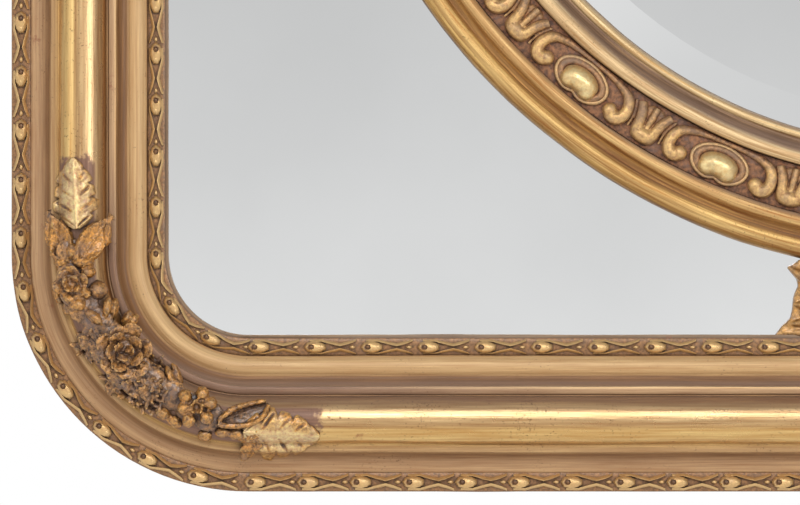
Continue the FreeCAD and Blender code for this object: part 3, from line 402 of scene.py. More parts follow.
# Planed pine, ungilded behind: pale yellow with brown lines of late wood some millimetres apart
LATE_WOOD, FIGURE_LENGTH, GRAIN_RELIEF = 4 * MM, 200 * MM, 0.2 * MM
pine, tree, shader = new_finish("planed_pine")
across = add_node(tree, "Attribute", attribute_name="across").outputs["Fac"]
place = add_node(tree, "TexCoord").outputs["Object"]
split = add_node(tree, "SeparateXYZ", {0: place})
rings = add_node(tree, "Math", {0: across, 1: RAIL_WIDTH / LATE_WOOD}, operation="MULTIPLY").outputs[0]
length = add_node(tree, "Math", {0: split.outputs["X"], 1: split.outputs["Z"]}, operation="ADD").outputs[0]
length = add_node(tree, "Math", {0: length, 1: 1 / FIGURE_LENGTH}, operation="MULTIPLY").outputs[0]
board = add_node(tree, "CombineXYZ", {0: rings, 1: length})
figure = add_node(tree, "TexNoise", {"Vector": board.outputs[0], "Scale": 1.0, "Detail": 5.0,
                                     "Roughness": 0.6}).outputs["Fac"]
late_wood = add_node(tree, "ValToRGB", {"Fac": figure},
                     stops=[(0.32, "#a9793f"), (0.44, "#cfa569"), (0.62, "#dcbb85")])
tree.links.new(late_wood.outputs["Color"], shader.inputs["Base Color"])
shader.inputs["Roughness"].default_value = 0.7
fibre = add_node(tree, "Bump", {"Strength": 0.3, "Distance": GRAIN_RELIEF, "Height": figure})
tree.links.new(fibre.outputs[0], shader.inputs["Normal"])


def gild_front(run, gilding):
    """Gild a run all over but for its back, which stays bare wood."""
    dress(run, gilding, pine)
    for side in run.data.polygons:
        side.material_index = 1 if side.normal.z < -0.5 else 0


# Keyhole plates are let into the back of the top rail. Each has a shallow recess for the plate, and a
# deeper pocket behind its slot for the head of the wall screw.
HANGER_X = 250 * MM
HANGER_RISE = 3 * MM
# Width, height and twice the depth, in millimetres
HANGER_CUTS = {"recess": (46.5, 26.5, 4.0), "pocket": (14.0, 24.0, 20.0)}
for run in frame_runs.values():
    gild_front(run, frame_gilding)
for side in (-1, 1):
    for name, size in HANGER_CUTS.items():
        bpy.ops.object.select_all(action="DESELECT")
        bpy.ops.mesh.primitive_cube_add(size=1, scale=[length * MM for length in size], location=(
            side * HANGER_X, HANGER_RISE - MIDDLE_BELOW_KEYHOLES, 0))
        cutter = bpy.context.object
        dress(cutter, frame_gilding, pine)
        for side_face in cutter.data.polygons:
            side_face.material_index = 1
        cut = frame_runs["rail_top"].modifiers.new(name, "BOOLEAN")
        cut.object = cutter
        cut.solver = "EXACT"
        pick(frame_runs["rail_top"])
        bpy.ops.object.modifier_apply(modifier=name)
        bpy.data.objects.remove(cutter)

for node, run in frame_runs.items():
    stand_up(run)
    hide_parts(node)
    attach(run, "frame")

# Dowels: turned beech pins, glued across the joints of the rails and corners and of the oval's arcs.
# They sit wholly inside the mouldings.
BEECH_FLECK = 1.111 * MM
beech, tree, shader = new_finish("turned_beech")
place = add_node(tree, "TexCoord").outputs["Object"]
# Beech shows short dark flecks, about a millimetre wide, in a pale even ground
flecks = add_node(tree, "TexNoise", {"Vector": place, "Scale": 1 / BEECH_FLECK, "Detail": 3.0})
grain = add_node(tree, "ValToRGB", {"Fac": flecks.outputs["Fac"]},
                 stops=[(0.35, "#b98f62"), (0.6, "#d8b78c")])
tree.links.new(grain.outputs["Color"], shader.inputs["Base Color"])
shader.inputs["Roughness"].default_value = 0.6
for node in ("frame_dowels", "oval_dowels"):
    dress(nodes[node], beech)

# Beading strips: cast composition ornament glued along the frame's outer edge and its sight edge.
# Each repeat is an oval bead with a drilled eye, held by two ribbons that cross and flare to the next bead.
EYE_TO_BEAD = 1.7
EYE_RADIUS, EYE_ABOVE = 1.2, 2.0
REPEAT_BASE, REPEAT_WIDTH, REPEAT_CREST = 1.0, 8.2, 4.5
BED_SIDE, BED_LIP, BED_LIP_IN = 1.5, 1.9, 0.8
BED_STEPS = {"left": 40, "bottom": 30}
BEND_STEPS = 30
BED_CREASE, BEAD_CREASE = math.radians(50), math.radians(75)
# Where each strip lies and how high it stands, in millimetres, and each run's count of repeats and its start
BEAD_STRIPS = {
    "edge": {"from": 0.0, "to": 8.2, "seat": 17.0, "crest": 4.5,
             "runs": {"left": (41, -0.8), "bottom": (33, 1.0)}},
    "sight": {"from": 58.4, "to": 66.0, "seat": 19.5, "crest": 4.0,
              "runs": {"left": (39, 3.2), "bottom": (27, 2.5)}},
}


def set_tint(piece, value):
    """Keep on every point how much leaf the piece shows, from bare toning to burnished gold, with painted
    shade and highlights on some pieces.
    """
    tint = piece.data.attributes.get("tint") or piece.data.attributes.new("tint", "FLOAT", "POINT")
    tint.data.foreach_set("value", [value] * len(piece.data.vertices))
    return piece


def fade_tint(piece, start, end, axis):
    """Let the leaf change along an axis: each end is a place in millimetres and the leaf there."""
    set_tint(piece, start[1])
    tint = piece.data.attributes["tint"]
    for vertex, value in zip(piece.data.vertices, tint.data):
        share = (vertex.co[axis] / MM - start[0]) / (end[0] - start[0])
        value.value = start[1] + (end[1] - start[1]) * min(1.0, max(0.0, share))


def swell(centre, radii, turn=0.0, tilt=0.0, segments=12, rings=6):
    """A rounded lump in millimetres: a sphere pressed to its three half-sizes, tipped and turned."""
    bpy.ops.object.select_all(action="DESELECT")
    bpy.ops.mesh.primitive_uv_sphere_add(segments=segments, ring_count=rings, radius=MM)
    lump = bpy.context.object
    lump.scale = radii
    bpy.ops.object.transform_apply()
    lump.rotation_euler = (0, math.radians(tilt), math.radians(turn))
    lump.location = [c * MM for c in centre]
    bpy.ops.object.transform_apply()
    return lump


def stem(points, radii, sides=0, smooth=0, closed=False):
    """A tapering stem through points in millimetres: a curve with a round section, made a mesh."""
    bpy.ops.object.select_all(action="DESELECT")
    bpy.ops.curve.primitive_bezier_curve_add()
    line = bpy.context.object
    path = line.data
    path.splines.clear()
    spline = path.splines.new("BEZIER" if smooth else "POLY")
    spline.use_cyclic_u = closed
    knots = spline.bezier_points if smooth else spline.points
    knots.add(len(points) - 1)
    for knot, point, radius in zip(knots, points, radii):
        spot = [c * MM for c in point]
        knot.co = spot if smooth else spot + [1.0]
        knot.radius = radius
        if smooth:
            knot.handle_left_type = knot.handle_right_type = "AUTO"
    path.resolution_u = max(smooth, 1)
    path.bevel_depth = MM
    path.bevel_resolution = sides
    path.use_fill_caps = True
    bpy.ops.object.convert(target="MESH")
    return bpy.context.object


def join(name, *pieces):
    """Join pieces into one of this name."""
    pick(*pieces)
    if len(pieces) > 1:
        bpy.ops.object.join()
    whole = bpy.context.object
    whole.name = name
    whole.data.name = name
    bpy.ops.object.transform_apply()
    return whole


def ribbon(side):
    """One ribbon of the beading: from a bead's flank over the crossing to the next bead, steeper inside."""
    # Along, aside, rise and half width, in millimetres
    spots = [(-0.6, 2.9, 1.8, 0.9), (4.6, 2.9, 2.4, 1.0), (8.6, 1.8, 2.8, 1.15), (12.5, 0.85, 3.1, 1.3),
             (16.0, 1.8, 2.9, 1.25), (19.4, 3.1, 2.4, 0.9)]
    x, y, rise, half = spots[0]
    section = [(-0.6 * half * MM, 0), (-0.3 * half * MM, rise * MM), (0.4 * half * MM, 0.85 * rise * MM),
               (half * MM, 0)]
    ridge = lay_section("ribbon", section, MM,
                        lambda u, d: (x * MM, (y * MM + u) * side, REPEAT_BASE * MM + d))
    for (x1, y1, rise1, half1), (x2, y2, rise2, half2) in zip(spots, spots[1:]):
        extend(((x2 - x1) * MM, (y2 - y1) * side * MM, 0), 1)
        bpy.ops.transform.resize(value=(1, half2 / half1, rise2 / rise1), center_override=(
            x2 * MM, y2 * side * MM, REPEAT_BASE * MM))
    return close_run(ridge)


def bead_repeat():
    """One repeat of the beading, with its eye at the origin and its run along X."""
    bpy.ops.object.select_all(action="DESELECT")
    bpy.ops.mesh.primitive_circle_add(vertices=8, radius=MM, fill_type="NGON")
    bead = bpy.context.object
    bead.scale = (4.9, 3.1, 1)
    bead.location = (EYE_TO_BEAD * MM, 0, REPEAT_BASE * MM)
    bpy.ops.object.transform_apply()
    bpy.ops.object.mode_set(mode="EDIT")
    bpy.ops.mesh.select_all(action="SELECT")
    # Up the bead's side, over its crown to the eye, and down into the eye, with a low pip in it: each step's
    # rise, how much it narrows both ways, and the place along the run that it narrows towards
    for rise, narrow, slim, towards in (
        (1.8, 0.97, 0.96, EYE_TO_BEAD), (1.2, 0.84, 0.82, EYE_TO_BEAD), (0.45, 0.32, 0.52, -0.55),
        (-0.9, 0.78, 0.78, 0.0), (0.2, 0.50, 0.50, 0.0),
    ):
        bpy.ops.mesh.extrude_region_move(TRANSFORM_OT_translate={"value": (0, 0, rise * MM)})
        bpy.ops.transform.resize(value=(narrow, slim, 1), center_override=(towards * MM, 0, 0))
    bpy.ops.object.mode_set(mode="OBJECT")
    nose = swell((4.2, 0, 2.5), (2.9, 2.6, 1.85), segments=6, rings=3)
    bud = swell((17.8, 0, 1.4), (1.9, 1.2, 1.5), segments=4, rings=3)
    repeat = join("bead_repeat", bead, nose, bud, ribbon(-1), ribbon(1))
    # Painted highlight and shade: the leaf brightens up the bead and ribbons to their crests, and the drilled
    # eye is painted dark
    fade_tint(repeat, (1.2, 0.44), (4.1, 0.8), axis=2)
    for vertex, tint in zip(repeat.data.vertices, repeat.data.attributes["tint"].data):
        if vertex.co.xy.length < EYE_RADIUS * MM and vertex.co.z > EYE_ABOVE * MM:
            tint.value = 0.1
    return repeat


def bead_path(inset, way):
    """The middle of a strip as a flat path: down the left or along the bottom, then round its corner."""
    bpy.ops.object.select_all(action="DESELECT")
    bpy.ops.curve.primitive_bezier_curve_add()
    line = bpy.context.object
    line.data.dimensions = "2D"
    line.data.splines.clear()
    radius = CORNER_RADIUS - inset
    if way == "left":
        start, centre, first_angle = (-half_width + inset, corner_y), (-corner_x, -corner_y), 180
    else:
        start, centre, first_angle = (-corner_x, -half_height + inset), (corner_x, -corner_y), 270
    spots = [Vector(start)]
    for step in range(BEND_STEPS + 1):
        angle = math.radians(first_angle + 90 * step / BEND_STEPS)
        spots.append(Vector(centre) + radius * Vector((math.cos(angle), math.sin(angle))))
    spline = line.data.splines.new("POLY")
    spline.points.add(len(spots) - 1)
    for point, spot in zip(spline.points, spots):
        point.co = (spot.x, spot.y, 0, 1)
    return line


def strip_bed(name, strip, way):
    """The low bed of a strip, laid as its run is."""
    low, high, seat = strip["from"], strip["to"], strip["seat"]
    ridge = (low + high) / 2
    outline = [(u * MM, d * MM) for u, d in (
        (low, seat), (low, seat + BED_SIDE), (low + BED_LIP_IN, seat + BED_LIP), (ridge, seat + BED_SIDE),
        (high - BED_LIP_IN, seat + BED_LIP), (high, seat + BED_SIDE), (high, seat))]
    if way == "left":
        bed = lay_section(name, outline, RAIL_WIDTH, lambda u, d: (u - half_width, corner_y, d))
        reach, centre = (0, -2 * corner_y, 0), (-corner_x, -corner_y, 0)
    else:
        bed = lay_section(name, outline, RAIL_WIDTH, lambda u, d: (-corner_x, u - half_height, d))
        reach, centre = (2 * corner_x, 0, 0), (corner_x, -corner_y, 0)
    extend(reach, BED_STEPS[way])
    bpy.ops.mesh.spin(steps=BEND_STEPS, angle=-QUARTER_TURN, center=centre, axis=(0, 0, 1))
    close_run(bed)
    bpy.ops.object.shade_smooth_by_angle(angle=BED_CREASE)
    return set_tint(bed, 0.3)


PATINA_PATCH = 6.667 * MM
COAT_ROUGHNESS = 0.24


def cast_gilding(name, tones, hollow_shade_tone, stipple_tone, edge_highlight_tone, patina_tone, patina_from, pit_mm, pitted,
                 relief_mm, hollow_mm, coat):
    """Gilded casting: leaf on the high places, brown toning and painted shade in the hollows, patches of grey
    patina.
    """
    material, tree, shader = new_finish(name)
    tint = add_node(tree, "Attribute", attribute_name="tint").outputs["Fac"]
    place = add_node(tree, "TexCoord").outputs["Object"]
    tone = add_node(tree, "ValToRGB", {"Fac": tint}, stops=tones).outputs["Color"]
    # Leaf broken by fine dark pits, as on a rough casting, and by bright specks that are painted glints
    grit = add_node(tree, "TexNoise", {"Vector": place, "Scale": 1 / (pit_mm * MM), "Detail": 5.0,
                                       "Roughness": 0.65}).outputs["Fac"]
    pits_and_glints = add_node(tree, "ValToRGB", {"Fac": grit},
                       stops=[(0.36, "#3c2516"), (0.50, "#bcb6ae"), (0.66, "#fff1d4")]).outputs["Color"]
    broken = add_node(tree, "Math", {0: tint, 1: -0.75 * pitted, 2: 1.1 * pitted},
                      operation="MULTIPLY_ADD").outputs[0]
    speckled = add_node(tree, "Mix", {0: broken, 6: tone, 7: pits_and_glints}, data_type="RGBA",
                        blend_type="OVERLAY").outputs[2]
    # Patches of grey patina some millimetres across
    patches = add_node(tree, "TexNoise", {"Vector": place, "Scale": 1 / PATINA_PATCH, "Detail": 6.0,
                                          "Roughness": 0.65}).outputs["Fac"]
    patina = add_node(tree, "ValToRGB", {"Fac": patches},
                      stops=[(patina_from, 0.0), (patina_from + 0.10, 0.75)]).outputs["Color"]
    dull_part = add_node(tree, "Math", {0: tint, 1: -0.8, 2: 1.0}, operation="MULTIPLY_ADD").outputs[0]
    patina = add_node(tree, "Math", {0: patina, 1: dull_part}, operation="MULTIPLY").outputs[0]
    patinated = add_node(tree, "Mix", {0: patina, 6: speckled, 7: linear(patina_tone)},
                         data_type="RGBA").outputs[2]
    # Hollows hold brown toning and painted shade, and sharp edges that stand up are rubbed bright and painted
    # brighter as highlights
    hollow = add_node(tree, "AmbientOcclusion", {"Distance": hollow_mm * MM}, samples=8).outputs["AO"]
    toning_and_shade = add_node(tree, "ValToRGB", {"Fac": hollow}, stops=[(0.40, 1.0), (0.85, 0.0)])
    # Painted highlight: sharp standing edges are lightened in the colour, beyond their rubbing
    sharp = add_node(tree, "NewGeometry").outputs["Pointiness"]
    edges = add_node(tree, "ValToRGB", {"Fac": sharp}, stops=[(0.52, 0.0), (0.60, 0.7)]).outputs["Color"]
    raised = add_node(tree, "MapRange", {"Value": tint, "From Min": 0.31, "From Max": 0.42}).outputs[0]
    edges = add_node(tree, "Math", {0: edges, 1: raised}, operation="MULTIPLY").outputs[0]
    lit = add_node(tree, "Mix", {0: edges, 6: patinated, 7: linear(edge_highlight_tone)}, data_type="RGBA").outputs[2]
    browns = add_node(tree, "ValToRGB", {"Fac": grit},
                      stops=[(0.40, hollow_shade_tone), (0.62, stipple_tone)]).outputs["Color"]
    colour = add_node(tree, "Mix", {0: toning_and_shade.outputs["Color"], 6: lit, 7: browns},
                      data_type="RGBA").outputs[2]
    tree.links.new(colour, shader.inputs["Base Color"])
    # Bare leaf is bright metal, and toning, painted shade and patina hide it
    cover = add_node(tree, "Math", {0: toning_and_shade.outputs["Color"], 1: patina}, operation="MAXIMUM").outputs[0]
    bare = add_node(tree, "Math", {0: tint, 1: 0.55, 2: 0.35}, operation="MULTIPLY_ADD").outputs[0]
    metal = add_node(tree, "Math", {0: cover, 1: -0.6, 2: bare}, operation="MULTIPLY_ADD",
                     use_clamp=True).outputs[0]
    tree.links.new(metal, shader.inputs["Metallic"])
    rough = add_node(tree, "Math", {0: tint, 1: -0.24, 2: 0.58}, operation="MULTIPLY_ADD").outputs[0]
    rough = add_node(tree, "Math", {0: cover, 1: 0.2, 2: rough}, operation="MULTIPLY_ADD",
                     use_clamp=True).outputs[0]
    tree.links.new(rough, shader.inputs["Roughness"])
    shader.inputs["Coat Weight"].default_value = coat
    shader.inputs["Coat Roughness"].default_value = COAT_ROUGHNESS
    bump = add_node(tree, "Bump", {"Strength": 0.6, "Distance": relief_mm * MM, "Height": grit})
    tree.links.new(bump.outputs[0], shader.inputs["Normal"])
    return material


# Rubbed gold leaf on a brown ground: beads and ribbons lighter towards their crests as painted highlight, the
# drilled eyes dark as painted shade, and a dull bed
bead_gilding = cast_gilding(
    "beading_leaf_gilding",
    tones=[(0.1, "#7a5735"), (0.3, "#8c6846"), (0.5, "#a57d50"), (0.65, "#bb925e"), (0.8, "#d0a972")],
    hollow_shade_tone="#57381f", stipple_tone="#785533", edge_highlight_tone="#dcb880", patina_tone="#7d6450",
    patina_from=0.56, pit_mm=1.4286, pitted=0.5, relief_mm=0.25, hollow_mm=1.5, coat=0.4)
repeat = bead_repeat()
pick(repeat)
bpy.ops.object.shade_smooth_by_angle(angle=BEAD_CREASE)
for place_name, strip in BEAD_STRIPS.items():
    middle = (strip["from"] + strip["to"]) / 2 * MM
    for way, (count, offset) in strip["runs"].items():
        length = 2 * (corner_y if way == "left" else corner_x) + QUARTER_TURN * (CORNER_RADIUS - middle)
        run = mirrored_copy(repeat, f"{place_name}_beading_{way}", (
            1, (strip["to"] - strip["from"]) / REPEAT_WIDTH, strip["crest"] / REPEAT_CREST))
        pick(run)
        run.location = (offset * MM, 0, strip["seat"] * MM)
        bpy.ops.object.transform_apply()
        rows = run.modifiers.new("repeats", "ARRAY")
        rows.count = count
        rows.use_relative_offset = False
        rows.use_constant_offset = True
        rows.constant_offset_displace = (length / count, 0, 0)
        path = bead_path(middle, way)
        follow = run.modifiers.new("follow", "CURVE")
        follow.object = path
        follow.deform_axis = "POS_X"
        pick(run)
        bpy.ops.object.modifier_apply(modifier="repeats")
        bpy.ops.object.modifier_apply(modifier="follow")
        bpy.data.objects.remove(path)
        bed = strip_bed(f"{place_name}_bed_{way}", strip, way)
        run = join(f"{place_name}_beading_{way}", run, bed)
        opposite = "right" if way == "left" else "top"
        for side, piece in ((way, run), (opposite, mirrored_copy(run, f"{place_name}_beading_{opposite}",
                                                                 (-1, -1, 1)))):
            dress(piece, bead_gilding)
            stand_up(piece)
            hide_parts(f"{place_name}_beading_{side}")
            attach(piece, "frame")
bpy.data.objects.remove(repeat)

# Corner garlands: cast composition sprays of leaves, buds, a rose and small flowers, glued over each corner.
# One is laid on the moulding of the bottom left corner, part by part, and the other three mirror it.
# Places are in millimetres from the frame's left and bottom edges.
LEAF_LENGTHWISE = 84
LEAF_CROSSWISE = 30
# How far a leaf's lobes lean forward, and the widths and places of its notches, slits and midrib
LOBE_SLANT = 0.22
NOTCH_WIDTH, SLIT_WIDTH, SLIT_MIDDLE, SLIT_REACH, MIDRIB_WIDTH = 0.14, 0.095, 0.50, 0.36, 0.6
BEND = CORNER_RADIUS / MM
GLASS_FRONT = 14.5
OUTER_EDGE = 17.0
face_line = [point for point in frame_points if point[1] >= OUTER_EDGE * MM]


def moulding_height(x, y):
    """How far the frame's face stands off the wall near its bottom left corner, in millimetres."""
    if x > BEND and y > BEND:
        return GLASS_FRONT
    if y >= BEND:
        u = x
    elif x >= BEND:
        u = y
    else:
        u = BEND - math.hypot(BEND - x, BEND - y)
    u *= MM
    for (u1, d1), (u2, d2) in zip(face_line, face_line[1:]):
        if u1 <= u <= u2 and u2 > u1:
            return (d1 + (d2 - d1) * (u - u1) / (u2 - u1)) / MM
    return OUTER_EDGE


def leaf(base, tip, width, lobes, lift, cling=1.0, cup=0.0, bend=0.0, slit=0.9, notch=0.3, full=0.75,
         thick=1.6, raise_tip=0.0, blunt=0.7, dull=0.0):
    """A lobed leaf from base to tip, slit between its lobes, lying on the moulding as far as it clings."""
    bpy.ops.object.select_all(action="DESELECT")
    bpy.ops.mesh.primitive_grid_add(x_subdivisions=LEAF_LENGTHWISE, y_subdivisions=LEAF_CROSSWISE, size=2)
    blade = bpy.context.object
    base, tip = Vector(base), Vector(tip)
    forward = (tip - base).normalized()
    aside = Vector((-forward.y, forward.x))
    length = (tip - base).length
    ground = moulding_height(*base)
    leaf_left = []
    for vertex in blade.data.vertices:
        t, s = (vertex.co.x + 1) / 2, vertex.co.y
        out = abs(s)
        gap = lobes * (t - LOBE_SLANT * out)
        gap -= round(gap)
        rim_gap = lobes * (t - LOBE_SLANT)
        rim_gap -= round(rim_gap)
        lobe = round(lobes * (t - LOBE_SLANT) + 0.5) + (3 if s > 0 else 0)
        edge = 0.05 + 0.95 * math.sin(math.pi * (0.02 + 0.97 * t) ** full) ** blunt
        short_of_tip = 1 - t ** 5
        reach = width / 2 * edge * (1 - short_of_tip * notch * math.exp(-(rim_gap / NOTCH_WIDTH) ** 2)
                                    + 0.07 * math.sin(2.2 * lobe))
        spot = base + forward * (t * length) + aside * (s * reach + bend * t * t)
        midrib = 0.9 * math.exp(-(s * reach / MIDRIB_WIDTH) ** 2) * (1 - 0.6 * t)
        cut = slit * math.exp(-(gap / SLIT_WIDTH) ** 2)
        cut *= max(0.0, 1 - ((out - SLIT_MIDDLE) / SLIT_REACH) ** 2)
        cut *= short_of_tip * (0.75 + 0.3 * math.sin(3.1 * lobe + 1.0))
        swelling = 0.5 * slit * (1 - 4 * gap * gap) * min(1.0, 2.5 * out) * (1 - out ** 4)
        height = lift * (1 - 0.5 * t * t) + midrib + swelling - 1.7 * cut - 0.9 * out ** 3
        height += cup * (s * s - 0.3) * (1 - t ** 3) + raise_tip * t * t
        height += cling * moulding_height(*spot) + (1 - cling) * ground
        vertex.co = (spot.x * MM, spot.y * MM, height * MM)
        # Painted shade: the slits between the lobes are darkened, and dull darkens one half of the leaf as if
        # it lay in shade
        shade = 0.07 * (1 + math.sin(9.0 * t + 4.0 * s + lobe)) * (1 - math.exp(-(s / 0.12) ** 2))
        shade += max(0.0, dull * s) * 2.0 * (1 - out) + max(0.0, dull * s - 0.1)
        leaf_left.append(1.0 - shade - 0.6 * min(1.0, 1.2 * cut) - 0.25 * out ** 6)
    tint = blade.data.attributes.new("tint", "FLOAT", "POINT")
    tint.data.foreach_set("value", leaf_left)
    body = blade.modifiers.new("body", "SOLIDIFY")
    body.thickness = thick * MM
    body.offset = -1
    bpy.ops.object.modifier_apply(modifier="body")
    return blade


def nub(x, y, radii, turn=0.0, tilt=0.0, lift=0.0):
    """A rounded lump set on the moulding."""
    return swell((x, y, moulding_height(x, y) + lift), radii, turn=turn, tilt=tilt, segments=16, rings=8)


def bean(x, y, wide, long, turn):
    """A bud split down its middle."""
    aside = Vector((math.cos(math.radians(turn)), math.sin(math.radians(turn)))) * wide * 0.44
    return [nub(x + aside.x * side, y + aside.y * side, (wide * 0.62, long, 3.4), turn=turn, lift=2.6)
            for side in (-1, 1)]


def petals(x, y, count, reach, radii, tilt, lift, start=0.0):
    """A ring of petals leaning out from a flower's heart."""
    ring = []
    base = moulding_height(x, y) + lift
    for step in range(count):
        angle = start + 360 * step / count + 9 * math.sin(1.7 * step)
        out = reach * (1 + 0.1 * math.sin(2.4 * step))
        spot = (x + out * math.cos(math.radians(angle)), y + out * math.sin(math.radians(angle)), base)
        ring.append(swell(spot, radii, turn=angle, tilt=tilt, segments=16, rings=8))
    return ring


def tuft(x, y, count):
    """Small leaflets lying every way round one place."""
    leaflets = []
    for step in range(count):
        angle = 137.5 * step
        out = 1.35 * math.sqrt(step + 0.4)
        grown = 1 + 0.25 * math.sin(2.3 * step)
        leaflets.append(nub(x + out * math.cos(math.radians(angle)), y + out * math.sin(math.radians(angle)),
                            (0.85, 1.2 * grown, 3.3 * grown), turn=angle + 60 * math.sin(1.3 * step),
                            tilt=60 + 18 * math.sin(1.9 * step), lift=2.0 + 0.7 * math.sin(3.7 * step)))
    return leaflets


def cast(piece, voxel_mm, faces, soften):
    """Give joined pieces one skin, as a casting has, soften it and thin its mesh."""
    pick(piece)
    skin = piece.modifiers.new("skin", "REMESH")
    skin.mode = "VOXEL"
    skin.voxel_size = voxel_mm * MM
    bpy.ops.object.modifier_apply(modifier="skin")
    soft = piece.modifiers.new("soft", "SMOOTH")
    soft.factor = 0.5
    soft.iterations = soften
    bpy.ops.object.modifier_apply(modifier="soft")
    if len(piece.data.polygons) * 2 > faces:
        thin = piece.modifiers.new("thin", "DECIMATE")
        thin.ratio = faces / (2 * len(piece.data.polygons))
        bpy.ops.object.modifier_apply(modifier="thin")
    bpy.ops.object.shade_smooth()
    return piece


def roughen(piece, strength_mm, scale_mm):
    """Give a casting the rough skin of pressed composition."""
    pick(piece)
    skin = bpy.data.textures.new("pressed_skin", "CLOUDS")
    skin.noise_type = "HARD_NOISE"
    skin.noise_scale = scale_mm * MM
    skin.noise_depth = 2
    rough = piece.modifiers.new("rough", "DISPLACE")
    rough.texture = skin
    rough.texture_coords = "LOCAL"
    rough.strength = strength_mm * MM
    rough.mid_level = 0.5
    bpy.ops.object.modifier_apply(modifier="rough")
    bpy.ops.object.shade_smooth()


# Each leaf's dull darkens one half of it as painted shade
gold_leaves = join("gold_leaves",
                   leaf((28.8, 113.0), (27.0, 143.4), width=20.0, lobes=4.7, lift=2.6, notch=0.24, full=0.84,
                        blunt=0.8, dull=-0.14),
                   leaf((100.0, 25.8), (132.8, 24.0), width=22.5, lobes=4.7, lift=2.6, notch=0.24, full=0.8,
                        blunt=0.8, dull=0.26))

sepals = join("sepals",
              leaf((23.2, 99.0), (18.2, 121.6), width=10.6, lobes=1.0, lift=3.4, cling=0.35, cup=3.0,
                   bend=2.4, slit=0.0, notch=0.0, full=0.85, thick=2.6, raise_tip=2.5, blunt=1.2),
              leaf((30.6, 99.6), (43.4, 119.4), width=10.6, lobes=1.0, lift=3.8, cling=0.35, cup=3.0,
                   bend=-0.8, slit=0.0, notch=0.0, full=0.8, thick=2.6, raise_tip=2.5, blunt=1.1),
              nub(23.4, 98.6, (4.6, 3.4, 4.4)), nub(31.6, 98.8, (5.2, 3.2, 4.8)),
              nub(33.6, 94.6, (3.6, 3.0, 4.4)), nub(27.2, 103.4, (3.6, 4.0, 4.0)))
cast(sepals, voxel_mm=0.36, faces=14000, soften=1)
roughen(sepals, strength_mm=0.9, scale_mm=1.1)
fade_tint(sepals, (112.0, 0.56), (119.0, 0.40), axis=1)

blooms = petals(26.3, 89.4, count=6, reach=4.6, radii=(1.7, 3.6, 4.4), tilt=48, lift=2.8, start=20)
blooms += petals(26.6, 89.4, count=4, reach=2.3, radii=(1.3, 2.3, 3.6), tilt=25, lift=5.2, start=60)
blooms += [nub(26.3, 89.4, (4.8, 4.6, 5.8)), nub(20.4, 85.4, (2.6, 5.2, 4.0), turn=20),
           nub(29.5, 80.6, (4.6, 4.0, 5.4), turn=30), nub(25.2, 79.4, (3.0, 3.6, 4.2), turn=-20),
           nub(36.3, 75.2, (5.8, 2.8, 4.4), turn=-42), nub(33.0, 85.4, (3.0, 2.6, 4.6))]
blooms += bean(43.2, 78.9, wide=3.5, long=5.2, turn=-10)
blooms += bean(51.3, 73.9, wide=3.4, long=4.2, turn=-28)
blooms += bean(70.3, 49.7, wide=3.3, long=6.0, turn=20)
blooms += petals(80.3, 36.8, count=6, reach=6.3, radii=(3.3, 3.1, 3.3), tilt=15, lift=3.2, start=68)
blooms += petals(80.3, 36.8, count=5, reach=2.1, radii=(1.1, 1.5, 2.5), tilt=25, lift=4.4, start=20)
blooms += [nub(80.3, 36.8, (4.4, 4.4, 4.0)), nub(83.6, 24.8, (3.4, 3.2, 4.0)),
           nub(91.2, 26.0, (3.6, 2.6, 3.6)), nub(65.6, 34.2, (4.2, 3.2, 4.6), turn=-30),
           nub(70.8, 30.6, (3.8, 3.0, 4.0), turn=-30), nub(97.4, 25.2, (4.2, 3.0, 3.8))]
for rim in (((89.0, 29.4), (95.0, 28.6), (102.0, 29.2), (108.6, 32.8), (111.0, 37.6)),
            ((89.4, 30.4), (92.0, 33.2), (97.2, 36.4), (104.0, 38.4), (110.0, 39.2))):
    blooms.append(stem([(x, y, moulding_height(x, y) + 3.0) for x, y in rim], [1.1, 1.5, 1.5, 1.4, 1.3],
                       sides=2, smooth=6))
blooms += [leaf((106.0, 26.5), (99.4, 13.0), width=9.5, lobes=3.0, lift=2.6, cling=0.8, notch=0.3)]
blooms = join("blooms", *blooms)
cast(blooms, voxel_mm=0.4, faces=26000, soften=1)
roughen(blooms, strength_mm=1.2, scale_mm=1.6)
set_tint(blooms, 0.52)

rose = petals(49.4, 60.4, count=7, reach=9.0, radii=(1.3, 4.4, 4.0), tilt=62, lift=2.6, start=10)
rose += petals(49.4, 60.4, count=5, reach=5.8, radii=(1.2, 3.9, 4.2), tilt=42, lift=5.0, start=40)
rose += petals(49.4, 60.4, count=3, reach=2.8, radii=(1.1, 2.6, 3.6), tilt=26, lift=6.6, start=15)
rose += [nub(49.4, 60.4, (9.0, 8.6, 4.8)), nub(50.2, 60.6, (1.8, 1.5, 8.6))]
rose = join("rose", *rose)
cast(rose, voxel_mm=0.38, faces=18000, soften=1)
roughen(rose, strength_mm=1.1, scale_mm=2.2)
set_tint(rose, 0.46)

